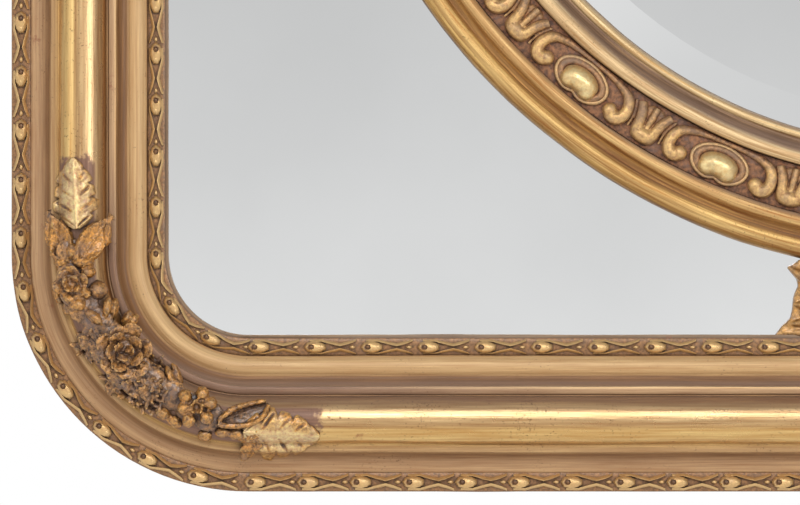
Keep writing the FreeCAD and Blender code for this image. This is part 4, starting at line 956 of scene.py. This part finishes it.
# Between the flowers, a low bed that the casting shares, with its tufts and curled leaves
GARLAND_LINE = ((26.5, 103), (27, 94), (28, 86), (32, 79), (38, 73), (43, 67), (48, 60), (54, 54), (61, 47),
                (69, 42), (77, 37), (85, 33))
foliage = [nub(x, y, (7.0, 7.0, 2.2)) for x, y in GARLAND_LINE]
foliage += [nub(37.9, 86.8, (4.4, 4.3, 6.2)),
            leaf((41.5, 56.0), (28.4, 68.4), width=10.0, lobes=3.0, lift=2.6, cling=0.7, notch=0.35),
            leaf((49.0, 54.0), (41.5, 42.0), width=11.0, lobes=3.0, lift=2.6, cling=0.8, notch=0.35),
            leaf((90.5, 31.0), (111.0, 38.0), width=9.0, lobes=1.0, lift=1.4, cling=0.8, cup=1.5, slit=0.0,
                 notch=0.0)]
for x, y, count in ((34.8, 62.8, 20), (46.6, 49.0, 24), (60.6, 41.4, 26), (61.0, 51.6, 26), (53.4, 44.0, 16)):
    foliage += tuft(x, y, count)
foliage = join("foliage", *foliage)
cast(foliage, voxel_mm=0.34, faces=46000, soften=1)
roughen(foliage, strength_mm=0.8, scale_mm=1.5)
set_tint(foliage, 0.27)
for vertex, tint in zip(foliage.data.vertices, foliage.data.attributes["tint"].data):
    above = vertex.co.z / MM - moulding_height(vertex.co.x / MM, vertex.co.y / MM)
    tint.value += 0.17 * min(1.0, max(0.0, (above - 2.0) / 2.6))

# Leaf over rough composition: gold on the leaves, petal rims lightened as painted highlights, and brown and
# grey where no cloth reaches, the brown deepened as painted shade in the hollows
garland_gilding = cast_gilding(
    "garland_leaf_gilding",
    tones=[(0.25, "#6f5238"), (0.42, "#a67d50"), (0.56, "#b3803c"), (0.7, "#b98f56"), (0.95, "#dabd8a")],
    hollow_shade_tone="#30190f", stipple_tone="#5e3f2c", edge_highlight_tone="#e2b468", patina_tone="#78625a",
    patina_from=0.515, pit_mm=1.5625, pitted=1.0, relief_mm=0.7, hollow_mm=3.0, coat=0.7)
garland = join("bottom_left_garland", gold_leaves, sepals, blooms, rose, foliage)
garland.location = (-half_width, -half_height, 0)
bpy.ops.object.transform_apply()
garlands = {
    "bottom_left": garland,
    "bottom_right": mirrored_copy(garland, "bottom_right_garland", (-1, 1, 1)),
    "top_left": mirrored_copy(garland, "top_left_garland", (1, -1, 1)),
    "top_right": mirrored_copy(garland, "top_right_garland", (-1, -1, 1)),
}
for corner, piece in garlands.items():
    pick(piece)
    bpy.ops.object.shade_smooth()
    dress(piece, garland_gilding)
    stand_up(piece)
    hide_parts(f"corner_garland_{corner}")
    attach(piece, "frame")

# Mirror panes: silvered float glass between the frame and the oval, parted on the mirror's centre lines.
# Their fronts reflect, and their backs are painted over the silver.
HAZE = 111.1 * MM
# The silver gives a sharp, faintly cool image in front, and the paint behind is flat brown
silvered, tree, shader = new_finish("silvered_glass")
facing = add_node(tree, "NewGeometry").outputs["Normal"]
backward = add_node(tree, "SeparateXYZ", {0: facing}).outputs["Y"]
painted = add_node(tree, "Math", {0: backward, 1: 0.5}, operation="GREATER_THAN").outputs[0]
place = add_node(tree, "TexCoord").outputs["Object"]
haze = add_node(tree, "TexNoise", {"Vector": place, "Scale": 1 / HAZE, "Detail": 4.0}).outputs["Fac"]
silver = add_node(tree, "ValToRGB", {"Fac": haze}, stops=[(0.3, "#e9eaea"), (0.7, "#f0f1f1")])
coat = add_node(tree, "Mix", {0: painted, 6: silver.outputs["Color"], 7: linear("#6a5d52")},
                data_type="RGBA").outputs[2]
tree.links.new(coat, shader.inputs["Base Color"])
bright = add_node(tree, "Math", {0: 1.0, 1: painted}, operation="SUBTRACT").outputs[0]
tree.links.new(bright, shader.inputs["Metallic"])
blur = add_node(tree, "Math", {0: painted, 1: 0.55, 2: 0.015}, operation="MULTIPLY_ADD").outputs[0]
tree.links.new(blur, shader.inputs["Roughness"])
for node in nodes:
    if node.startswith("mirror_pane_") or node == "oval_mirror":
        dress(nodes[node], silvered)

# Oval moulding: four arcs doweled end to end, gilded as the frame is, with a channel for cast ornament.
# Two arcs of the smaller radius close the ends and two of the larger radius make the sides.
RING_WIDTH = 54 * MM
OVAL_HALF_WIDTH, OVAL_HALF_HEIGHT = 306.5, 406.5
JOIN_ANGLE = 30
RING_ARRIS = 0.3 * MM
RING_FACE = 14 * MM
ARC_STEPS = 81
join_slope, join_cosine = math.tan(math.radians(JOIN_ANGLE)), math.cos(math.radians(JOIN_ANGLE))
side_centre = (OVAL_HALF_HEIGHT - OVAL_HALF_WIDTH) / (1 + join_slope - 1 / join_cosine)
end_centre = side_centre * join_slope
side_radius, end_radius = OVAL_HALF_WIDTH + side_centre, OVAL_HALF_HEIGHT - end_centre
end_sweep, side_sweep = 180 - 2 * JOIN_ANGLE, 2 * JOIN_ANGLE
# Each arc's centre, radius, start and sweep, in millimetres and degrees
OVAL_ARCS = {
    "bottom": ((0.0, -end_centre), end_radius, JOIN_ANGLE - 180, end_sweep),
    "right": ((-side_centre, 0.0), side_radius, -JOIN_ANGLE, side_sweep),
    "top": ((0.0, end_centre), end_radius, JOIN_ANGLE, end_sweep),
    "left": ((side_centre, 0.0), side_radius, 180 - JOIN_ANGLE, side_sweep),
}
# Distance in from the outer edge, height off the wall, and how far the next side bows out, in millimetres
RING_SECTION = (
    (0.0, 14.5, 0.0), (0.0, 16.5, 3.2), (9.5, 19.5, -0.8), (12.8, 23.0, 2.2), (18.7, 23.0, 0.0),
    (18.7, 20.0, 0.0), (38.8, 20.0, 0.0), (38.8, 23.5, 2.4), (45.6, 21.5, -0.9), (49.8, 18.0, 1.8),
    (54.0, 15.5, 0.0), (54.0, 13.41, 0.0), (46.0, 13.41, 0.0), (46.0, 4.5, 0.0), (24.5, 4.5, 0.0),
    (24.5, 10.5, 0.0), (6.5, 10.5, 0.0), (6.5, 14.5, 0.0),
)


def lay_arc(name, points, arc, width):
    """A section laid at the start of an arc of the oval and spun round it."""
    (x, y), radius, start, sweep = arc
    angle = math.radians(start)
    ring = lay_section(name, points, width, lambda v, d: (
        x * MM + (radius * MM - v) * math.cos(angle), y * MM + (radius * MM - v) * math.sin(angle), d))
    bpy.ops.mesh.spin(steps=ARC_STEPS, angle=-math.radians(sweep), center=(x * MM, y * MM, 0), axis=(0, 0, 1))
    return ring


def ring_band(v_mm):
    """A place across the oval moulding as a share of its width."""
    return v_mm * MM / RING_WIDTH


# Gold leaf rubbed into streaks: the outer round and inner bead are bright, the hollow by the glass is brown
ring_gilding = gilded_moulding(
    "oval_leaf_gilding",
    tones=[(ring_band(0.0), "#8a6a45"), (ring_band(1.5), "#b48c4f"), (ring_band(4.0), "#c29c62"),
           (ring_band(7.5), "#c69f60"), (ring_band(9.6), "#976b38"), (ring_band(12.0), "#ad8149"),
           (ring_band(14.0), "#cda469"), (ring_band(18.4), "#c49a66"), (ring_band(19.0), "#5c3d26"),
           (ring_band(38.6), "#5c3d26"), (ring_band(39.5), "#cba97a"), (ring_band(44.5), "#d4b386"),
           (ring_band(46.0), "#7a5c40"), (ring_band(49.5), "#80634a"), (ring_band(50.5), "#cfb080"),
           (ring_band(53.0), "#dcbf90")],
    burnish=[(0.0, 0.55), (ring_band(8.5), 0.6), (ring_band(10.0), 0.25), (ring_band(40.0), 0.35),
             (ring_band(49.0), 0.2), (ring_band(51.0), 0.6)],
    width=RING_WIDTH,
    dust_and_reflection_across=[(0.0, 1.0), (1.0, 1.0)],
    rubbing=0.9,
)
ring_points = section_points(RING_SECTION)
for side, arc in OVAL_ARCS.items():
    piece = lay_arc(f"oval_{side}", ring_points, arc, RING_WIDTH)
    finish_moulding(piece, RING_ARRIS, RING_FACE)
    gild_front(piece, ring_gilding)
    stand_up(piece)
    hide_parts(f"oval_arc_{side}")
    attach(piece, "frame")

# Oval ornament: cast strips in the channel, of heart-shaped bosses in rings, scrolls and palmettes in turn.
# The bosses are burnished, the scrolls matt, and the ground between is left brown.
CHANNEL_MIDDLE = 28.75
CHANNEL_FLOOR = 20.0
STRIP_FROM, STRIP_TO = 19.0, 38.5
STRIP_EDGE, STRIP_RIDGE = 0.7, 0.9
# Angles from the middle of an end arc or a side arc, the same both ways
BOSS_ANGLES = {"end": (7.68, 23.22, 39.72, 56.22), "side": (0.0, 8.01, 15.99, 24.0)}
PALMETTE_ANGLES = {"end": (0.0, 15.45, 31.47, 47.97), "side": (4.0, 12.0, 20.0, 27.9)}

boss = cast(join("boss", swell((0, 1.4, 1.0), (9.1, 5.6, 7.0), segments=24, rings=12),
                 swell((-4.4, 3.4, 1.0), (4.7, 4.5, 5.3), turn=-14, segments=24, rings=12),
                 swell((4.4, 3.4, 1.0), (4.7, 4.5, 5.3), turn=14, segments=24, rings=12)),
            voxel_mm=0.4, faces=1600, soften=4)
set_tint(boss, 0.85)


def ring_loop(wide, tall, middle, rise, thickness):
    """A ring round the boss, dented on its outer side as the boss is."""
    loop = []
    for step in range(36):
        angle = math.radians(10 * step)
        x, y = wide * math.cos(angle), tall * math.sin(angle)
        loop.append((x, middle + y - (1.9 * math.exp(-(x / 2.4) ** 2) if y > 0 else 0.0), rise))
    return stem(loop, [thickness] * len(loop), sides=2, closed=True)


lip = set_tint(ring_loop(wide=12.5, tall=7.7, middle=1.0, rise=1.6, thickness=1.05), 0.5)
collar = set_tint(ring_loop(wide=10.4, tall=6.0, middle=1.0, rise=1.3, thickness=1.95), 0.34)
rims = join("rims", lip, collar)
pick(rims)
bpy.ops.object.shade_smooth()
scroll_parts = []
for side in (-1, 1):
    scroll_parts.append(swell((17.4 * side, 3.8, 1.7), (3.4, 3.3, 3.4), segments=16, rings=8))
    scroll_parts.append(stem(
        [(17.2 * side, 4.8, 1.6), (18.8 * side, 5.6, 1.8), (21.4 * side, 5.3, 2.0), (23.2 * side, 3.0, 2.1),
         (23.5 * side, -0.6, 2.1), (21.8 * side, -4.4, 1.9), (17.0 * side, -7.0, 1.6),
         (9.0 * side, -8.3, 1.4), (0.0, -8.6, 1.3)],
        [2.5, 2.9, 3.0, 2.9, 2.8, 2.5, 1.8, 1.3, 1.1], sides=3, smooth=6))
scrolls = cast(join("scrolls", *scroll_parts), voxel_mm=0.32, faces=3000, soften=3)
fade_tint(scrolls, (-3.0, 0.64), (-7.5, 0.4), axis=1)
palmette_parts = [swell((0, 5.0, 1.3), (6.0, 3.8, 4.0), segments=20, rings=10),
                  swell((0, -3.0, 0.6), (6.4, 6.0, 1.7), segments=20, rings=10),
                  stem([(0, 4.0, 2.2), (0, 1.0, 2.5), (0, -3.0, 2.4), (0, -8.0, 1.7)], [1.2, 1.5, 1.75, 1.7],
                       sides=3, smooth=5)]
for side in (-1, 1):
    palmette_parts.append(stem(
        [(2.6 * side, 6.0, 1.4), (3.7 * side, 3.6, 2.0), (4.2 * side, 0.5, 2.3), (5.1 * side, -3.0, 2.2),
         (7.4 * side, -7.4, 1.6)], [2.5, 2.6, 2.5, 2.5, 2.1], sides=3, smooth=5))
    palmette_parts.append(stem([(7.6 * side, 5.0, 1.0), (7.9 * side, -0.4, 1.3), (10.2 * side, -6.8, 1.0)],
                               [0.7, 0.9, 0.8], sides=2, smooth=4))
palmette = cast(join("palmette", *palmette_parts), voxel_mm=0.28, faces=2800, soften=1)
fade_tint(palmette, (2.0, 0.63), (-5.0, 0.44), axis=1)

# Burnished bosses catch the light, scrolls and palmettes are matt gold, and their ground is red-brown
ornament_gilding = cast_gilding(
    "ornament_leaf_gilding",
    tones=[(0.2, "#7e5639"), (0.3, "#8c6850"), (0.5, "#ad8a62"), (0.64, "#cba672"), (0.85, "#ead09a")],
    hollow_shade_tone="#4a2b1d", stipple_tone="#96603a", edge_highlight_tone="#dcb987", patina_tone="#765f56",
    patina_from=0.50, pit_mm=1.5625, pitted=0.6, relief_mm=0.25, hollow_mm=3.0, coat=0.05)
for side, arc in OVAL_ARCS.items():
    (x, y), radius, start, sweep = arc
    kind = "end" if side in ("bottom", "top") else "side"
    strip_points = [(v * MM, (CHANNEL_FLOOR + rise) * MM) for v, rise in (
        (STRIP_FROM, 0.0), (STRIP_FROM, STRIP_EDGE), ((STRIP_FROM + STRIP_TO) / 2, STRIP_RIDGE),
        (STRIP_TO, STRIP_EDGE), (STRIP_TO, 0.0))]
    bed = lay_arc(f"ornament_{side}", strip_points, arc, RING_WIDTH)
    set_tint(close_run(bed), 0.25)
    pieces = [bed]
    centre = Vector((x * MM, y * MM, CHANNEL_FLOOR * MM))
    reach = (radius - CHANNEL_MIDDLE) * MM
    for motifs, angles in (((boss, rims, scrolls), BOSS_ANGLES[kind]), ((palmette,), PALMETTE_ANGLES[kind])):
        both_ways = sorted({way * angle for angle in angles for way in (-1, 1)})
        for motif in motifs:
            for angle in both_ways:
                copy = own_copy(motif, f"ornament_{side}_motif")
                turn = math.radians(start + sweep / 2 + angle)
                # Bend the motif to the arc: its length becomes an angle, its outward side a larger radius
                for vertex in copy.data.vertices:
                    swing = turn - vertex.co.x / reach
                    out = reach + vertex.co.y
                    vertex.co = centre + Vector((out * math.cos(swing), out * math.sin(swing), vertex.co.z))
                pieces.append(copy)
    piece = join(f"ornament_{side}", *pieces)
    faces_out()
    dress(piece, ornament_gilding)
    stand_up(piece)
    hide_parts(f"oval_ornament_{side}")
    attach(piece, "frame")
for motif in (boss, rims, scrolls, palmette):
    bpy.data.objects.remove(motif)

# Bridge ornaments: cast cartouches that fill the gaps between the oval and the frame on the centre lines.
# A flared foot stands on the frame's sight edge, with a fluted shell between two scrolls and leaf tips above.
BRIDGE_BACK, BRIDGE_BODY = 14.6, 4.4
FOOT_HALF, FOOT_STEP = 70, 5
SHELL_FLUTES = range(-3, 4)
FLUTE_TURN = 23
# Half of the outline, from the foot's end round to the middle of the top, in millimetres
BRIDGE_EDGE = [(71.5, -0.6), (68.1, 3.9), (64.6, 7.2), (63.8, 10.6), (63.4, 15.3), (62.8, 17.7),
               (61.3, 20.9), (62.1, 24.8), (65.4, 28.9), (60.7, 32.4), (45.0, 30.4), (30.0, 28.6),
               (15.0, 27.4), (0.0, 27.0)]


def bridge_plate():
    """The cartouche's body: its outline filled and raised, in millimetres from the foot's middle."""
    outline = BRIDGE_EDGE + [(-x, y) for x, y in reversed(BRIDGE_EDGE[:-1])]
    bpy.ops.object.select_all(action="DESELECT")
    bpy.ops.mesh.primitive_circle_add(vertices=len(outline), fill_type="NGON")
    body = bpy.context.object
    for vertex, (x, y) in zip(body.data.vertices, outline):
        vertex.co = (x * MM, y * MM, BRIDGE_BACK * MM)
    bpy.ops.object.mode_set(mode="EDIT")
    bpy.ops.mesh.select_all(action="SELECT")
    bpy.ops.mesh.extrude_region_move(TRANSFORM_OT_translate={"value": (0, 0, BRIDGE_BODY * MM)})
    bpy.ops.object.mode_set(mode="OBJECT")
    faces_out()
    return body


foot_line = range(-FOOT_HALF, FOOT_HALF + 1, FOOT_STEP)
foot = stem([(x, 0.8, 18.2) for x in foot_line],
            [2.6 - 1.9 * abs(x / FOOT_HALF) ** 8 + 0.25 * math.sin(0.9 * x) for x in foot_line], sides=3)
parts = [bridge_plate(), foot]
for step in SHELL_FLUTES:
    angle = math.radians(90 - FLUTE_TURN * step)
    heart = Vector((0, 4.0))
    far = heart + Vector((math.cos(angle), math.sin(angle))) * (21 - 0.7 * step * step)
    half_way = (heart + far) / 2
    parts.append(stem([(heart.x, heart.y, 19.0), (half_way.x, half_way.y, 20.4), (far.x, far.y, 19.2)],
                      [0.9, 2.0, 2.6], sides=3, smooth=5))
parts.append(swell((0, 4.5, 19.5), (4.0, 3.6, 3.6), segments=20, rings=10))
for side in (-1, 1):
    parts.append(stem([(side * x, y, d) for x, y, d in (
        (22, 5.0, 19.0), (30, 4.4, 20.0), (38, 7.0, 20.4), (42, 13.0, 20.2), (39, 19.0, 20.0),
        (33, 20.0, 19.8), (30.4, 16.0, 19.8), (33.6, 12.6, 20.0))],
        [0.9, 1.6, 2.2, 2.4, 2.2, 1.9, 1.6, 1.7], sides=3, smooth=6))
    for tip, root, wide in (((65.6, 29.2), (50.0, 18.0), 3.0), ((58.0, 30.5), (46.0, 20.0), 2.4),
                            ((63.4, 13.0), (50.0, 12.0), 2.6), ((66.0, 4.6), (48.0, 6.0), 2.2)):
        middle = ((tip[0] + root[0]) / 2, (tip[1] + root[1]) / 2)
        parts.append(stem([(side * root[0], root[1], 19.2), (side * middle[0], middle[1], 20.4),
                           (side * tip[0], tip[1], 18.4)], [1.0, wide, 0.7], sides=3, smooth=5))
cartouche = cast(join("cartouche", *parts), voxel_mm=0.5, faces=14000, soften=2)
set_tint(cartouche, 0.6)
# Matt gold leaf with brown toning and painted shade in the hollows, as on the frame's castings
bridge_gilding = cast_gilding(
    "bridge_leaf_gilding",
    tones=[(0.3, "#86603d"), (0.6, "#b0864f"), (0.9, "#cda568")],
    hollow_shade_tone="#4a2f1c", stipple_tone="#6b4526", edge_highlight_tone="#dcb98a", patina_tone="#8a6a55",
    patina_from=0.53, pit_mm=1.923, pitted=0.7, relief_mm=0.3, hollow_mm=3.0, coat=0.5)
sight_x, sight_y = half_width - RAIL_WIDTH, half_height - RAIL_WIDTH
for side, turn, place in (("bottom", 0, (0, -sight_y, 0)), ("right", 90, (sight_x, 0, 0)),
                          ("top", 180, (0, sight_y, 0)), ("left", 270, (-sight_x, 0, 0))):
    piece = own_copy(cartouche, f"bridge_{side}")
    piece.rotation_euler = (0, 0, math.radians(turn))
    piece.location = place
    bpy.ops.object.transform_apply()
    dress(piece, bridge_gilding)
    stand_up(piece)
    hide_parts(f"bridge_ornament_{side}")
    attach(piece, "frame")
bpy.data.objects.remove(cartouche)

# Back: a hardboard panel screwed to the rails, a board behind the oval glass under turn buttons on their
# screws, and keyhole plates for the wall. All of it keeps the solids' shapes.
FIBRE, BOARD_CLOUD, FIBRE_RELIEF, PLATING_CLOUD = 2.381 * MM, 71.43 * MM, 0.2 * MM, 4.167 * MM
hardboard, tree, shader = new_finish("brown_hardboard")
place = add_node(tree, "TexCoord").outputs["Object"]
# Pressed fibres lie every way, a few millimetres long
fibres = add_node(tree, "TexNoise", {"Vector": place, "Scale": 1 / FIBRE, "Detail": 6.0, "Roughness": 0.75})
clouds = add_node(tree, "TexNoise", {"Vector": place, "Scale": 1 / BOARD_CLOUD, "Detail": 4.0})
mottle = add_node(tree, "Math", {0: clouds.outputs["Fac"], 1: 0.4, 2: fibres.outputs["Fac"]},
                  operation="MULTIPLY_ADD")
tan = add_node(tree, "ValToRGB", {"Fac": mottle.outputs[0]},
               stops=[(0.45, "#5d4330"), (0.70, "#7c5b40"), (0.95, "#93714f")])
tree.links.new(tan.outputs["Color"], shader.inputs["Base Color"])
shader.inputs["Roughness"].default_value = 0.75
bump = add_node(tree, "Bump", {"Strength": 0.35, "Distance": FIBRE_RELIEF, "Height": fibres.outputs["Fac"]})
tree.links.new(bump.outputs[0], shader.inputs["Normal"])

steel_finishes = {}
for name, low, high, roughness in (("zinc_plated_steel", "#8f9496", "#b9bec0", 0.38),
                                   ("brassed_steel", "#8a6b35", "#c09a52", 0.34)):
    metal, tree, shader = new_finish(name)
    place = add_node(tree, "TexCoord").outputs["Object"]
    # Plating shines where it is fresh and dulls in small clouds
    dull = add_node(tree, "TexNoise", {"Vector": place, "Scale": 1 / PLATING_CLOUD, "Detail": 5.0,
                                       "Roughness": 0.6})
    plate = add_node(tree, "ValToRGB", {"Fac": dull.outputs["Fac"]}, stops=[(0.35, low), (0.65, high)])
    tree.links.new(plate.outputs["Color"], shader.inputs["Base Color"])
    shader.inputs["Metallic"].default_value = 1.0
    worn = add_node(tree, "Math", {0: dull.outputs["Fac"], 1: 0.25, 2: roughness - 0.12},
                    operation="MULTIPLY_ADD")
    tree.links.new(worn.outputs[0], shader.inputs["Roughness"])
    steel_finishes[name] = metal

for node in nodes:
    if node in ("back_panel", "oval_backboard"):
        finish = hardboard
    elif node.startswith(("turn_button_", "hanger_plate_")) and not node.endswith("screws"):
        finish = steel_finishes["brassed_steel"]
    elif node.endswith("screws"):
        finish = steel_finishes["zinc_plated_steel"]
    else:
        continue
    dress(nodes[node], finish)

# Studio: a pale matt floor below the hanging mirror, soft boxes left, right and above, and a white surround.
# The camera looks straight at the lower left corner, level and from far off.
FLOOR_BELOW, FLOOR_SIZE = 0.35, 2.6
FLOOR_GLOW = 0.42
bottom_edge = MIDDLE_BELOW_KEYHOLES - half_height
bpy.ops.object.select_all(action="DESELECT")
bpy.ops.mesh.primitive_plane_add(size=FLOOR_SIZE, location=(0, 0, bottom_edge - FLOOR_BELOW))
floor = bpy.context.object
floor.name = "studio_floor"
pale, tree, shader = new_finish("pale_floor")
shader.inputs["Base Color"].default_value = linear("#e6e4e0")
shader.inputs["Roughness"].default_value = 0.8
# Metal and glass see the floor as white as the surround
rays = add_node(tree, "LightPath")
seen = add_node(tree, "Math", {0: rays.outputs["Is Glossy Ray"], 1: rays.outputs["Is Transmission Ray"]},
                operation="MAXIMUM").outputs[0]
white = add_node(tree, "Math", {0: seen, 1: FLOOR_GLOW}, operation="MULTIPLY").outputs[0]
shader.inputs["Emission Color"].default_value = linear("#ffffff")
tree.links.new(white, shader.inputs["Emission Strength"])
dress(floor, pale)

# The middle of the view: how far left of the mirror's middle, and how far above its bottom edge
LOOK_LEFT, LOOK_ABOVE = 232.8 * MM, 102.9 * MM
look_at = Vector((-LOOK_LEFT, 0, bottom_edge + LOOK_ABOVE))
for name, azimuth, elevation, distance, size, power in (
    ("left_softbox", -54, 12, 1.7, 1.0, 3.4),
    ("right_softbox", 34, 8, 2.0, 0.7, 8.6),
    ("top_softbox", -5, 26, 1.9, 0.7, 12.0),
):
    lamp = bpy.data.lights.new(name, "AREA")
    lamp.shape = "SQUARE"
    lamp.size = size
    lamp.energy = power
    holder = bpy.data.objects.new(name, lamp)
    bpy.context.scene.collection.objects.link(holder)
    a, e = math.radians(azimuth), math.radians(elevation)
    away = Vector((math.sin(a) * math.cos(e), -math.cos(a) * math.cos(e), math.sin(e)))
    holder.location = look_at + away * distance
    holder.rotation_euler = away.to_track_quat("Z", "Y").to_euler()

# The room that metal and glass reflect is brightest at eye level, and it is white to the camera
surround = bpy.data.worlds.new("white_surround")
surround.use_nodes = True
bpy.context.scene.world = surround
tree = surround.node_tree
direction = add_node(tree, "TexCoord").outputs["Generated"]
height = add_node(tree, "SeparateXYZ", {0: direction}).outputs["Z"]
share = add_node(tree, "MapRange", {"Value": height, "From Min": -0.25, "From Max": 0.25})
room = add_node(tree, "ValToRGB", {"Fac": share.outputs[0]}, stops=[
    (0.0, "#cccccc"), (0.25, "#e8e8e8"), (0.44, "#f7f7f7"), (0.56, "#d6d6d6"), (1.0, "#b8b8b8")])
rays = add_node(tree, "LightPath")
dim = add_node(tree, "Mix", {0: rays.outputs["Is Diffuse Ray"], 6: room.outputs["Color"],
                             7: linear("#b0b0b0")}, data_type="RGBA").outputs[2]
light = add_node(tree, "Mix", {0: rays.outputs["Is Camera Ray"], 6: dim, 7: (1, 1, 1, 1)},
                 data_type="RGBA").outputs[2]
tree.links.new(light, tree.nodes["Background"].inputs["Color"])
tree.nodes["Background"].inputs["Strength"].default_value = 1.0

CAMERA_DISTANCE = 4.0
SENSOR_WIDTH = 36
# The view is this wide where the frame's face is, so far in front of the wall
VIEW_WIDTH, VIEW_PLANE = 344.3 * MM, 20 * MM
camera = bpy.data.cameras.new("camera")
camera.sensor_width = SENSOR_WIDTH
camera.lens = SENSOR_WIDTH * (CAMERA_DISTANCE - VIEW_PLANE) / VIEW_WIDTH
viewer = bpy.data.objects.new("camera", camera)
bpy.context.scene.collection.objects.link(viewer)
viewer.location = look_at + Vector((0, -CAMERA_DISTANCE, 0))
viewer.rotation_euler = (QUARTER_TURN, 0, 0)
bpy.context.scene.camera = viewer
bpy.context.scene.view_settings.view_transform = "Standard"
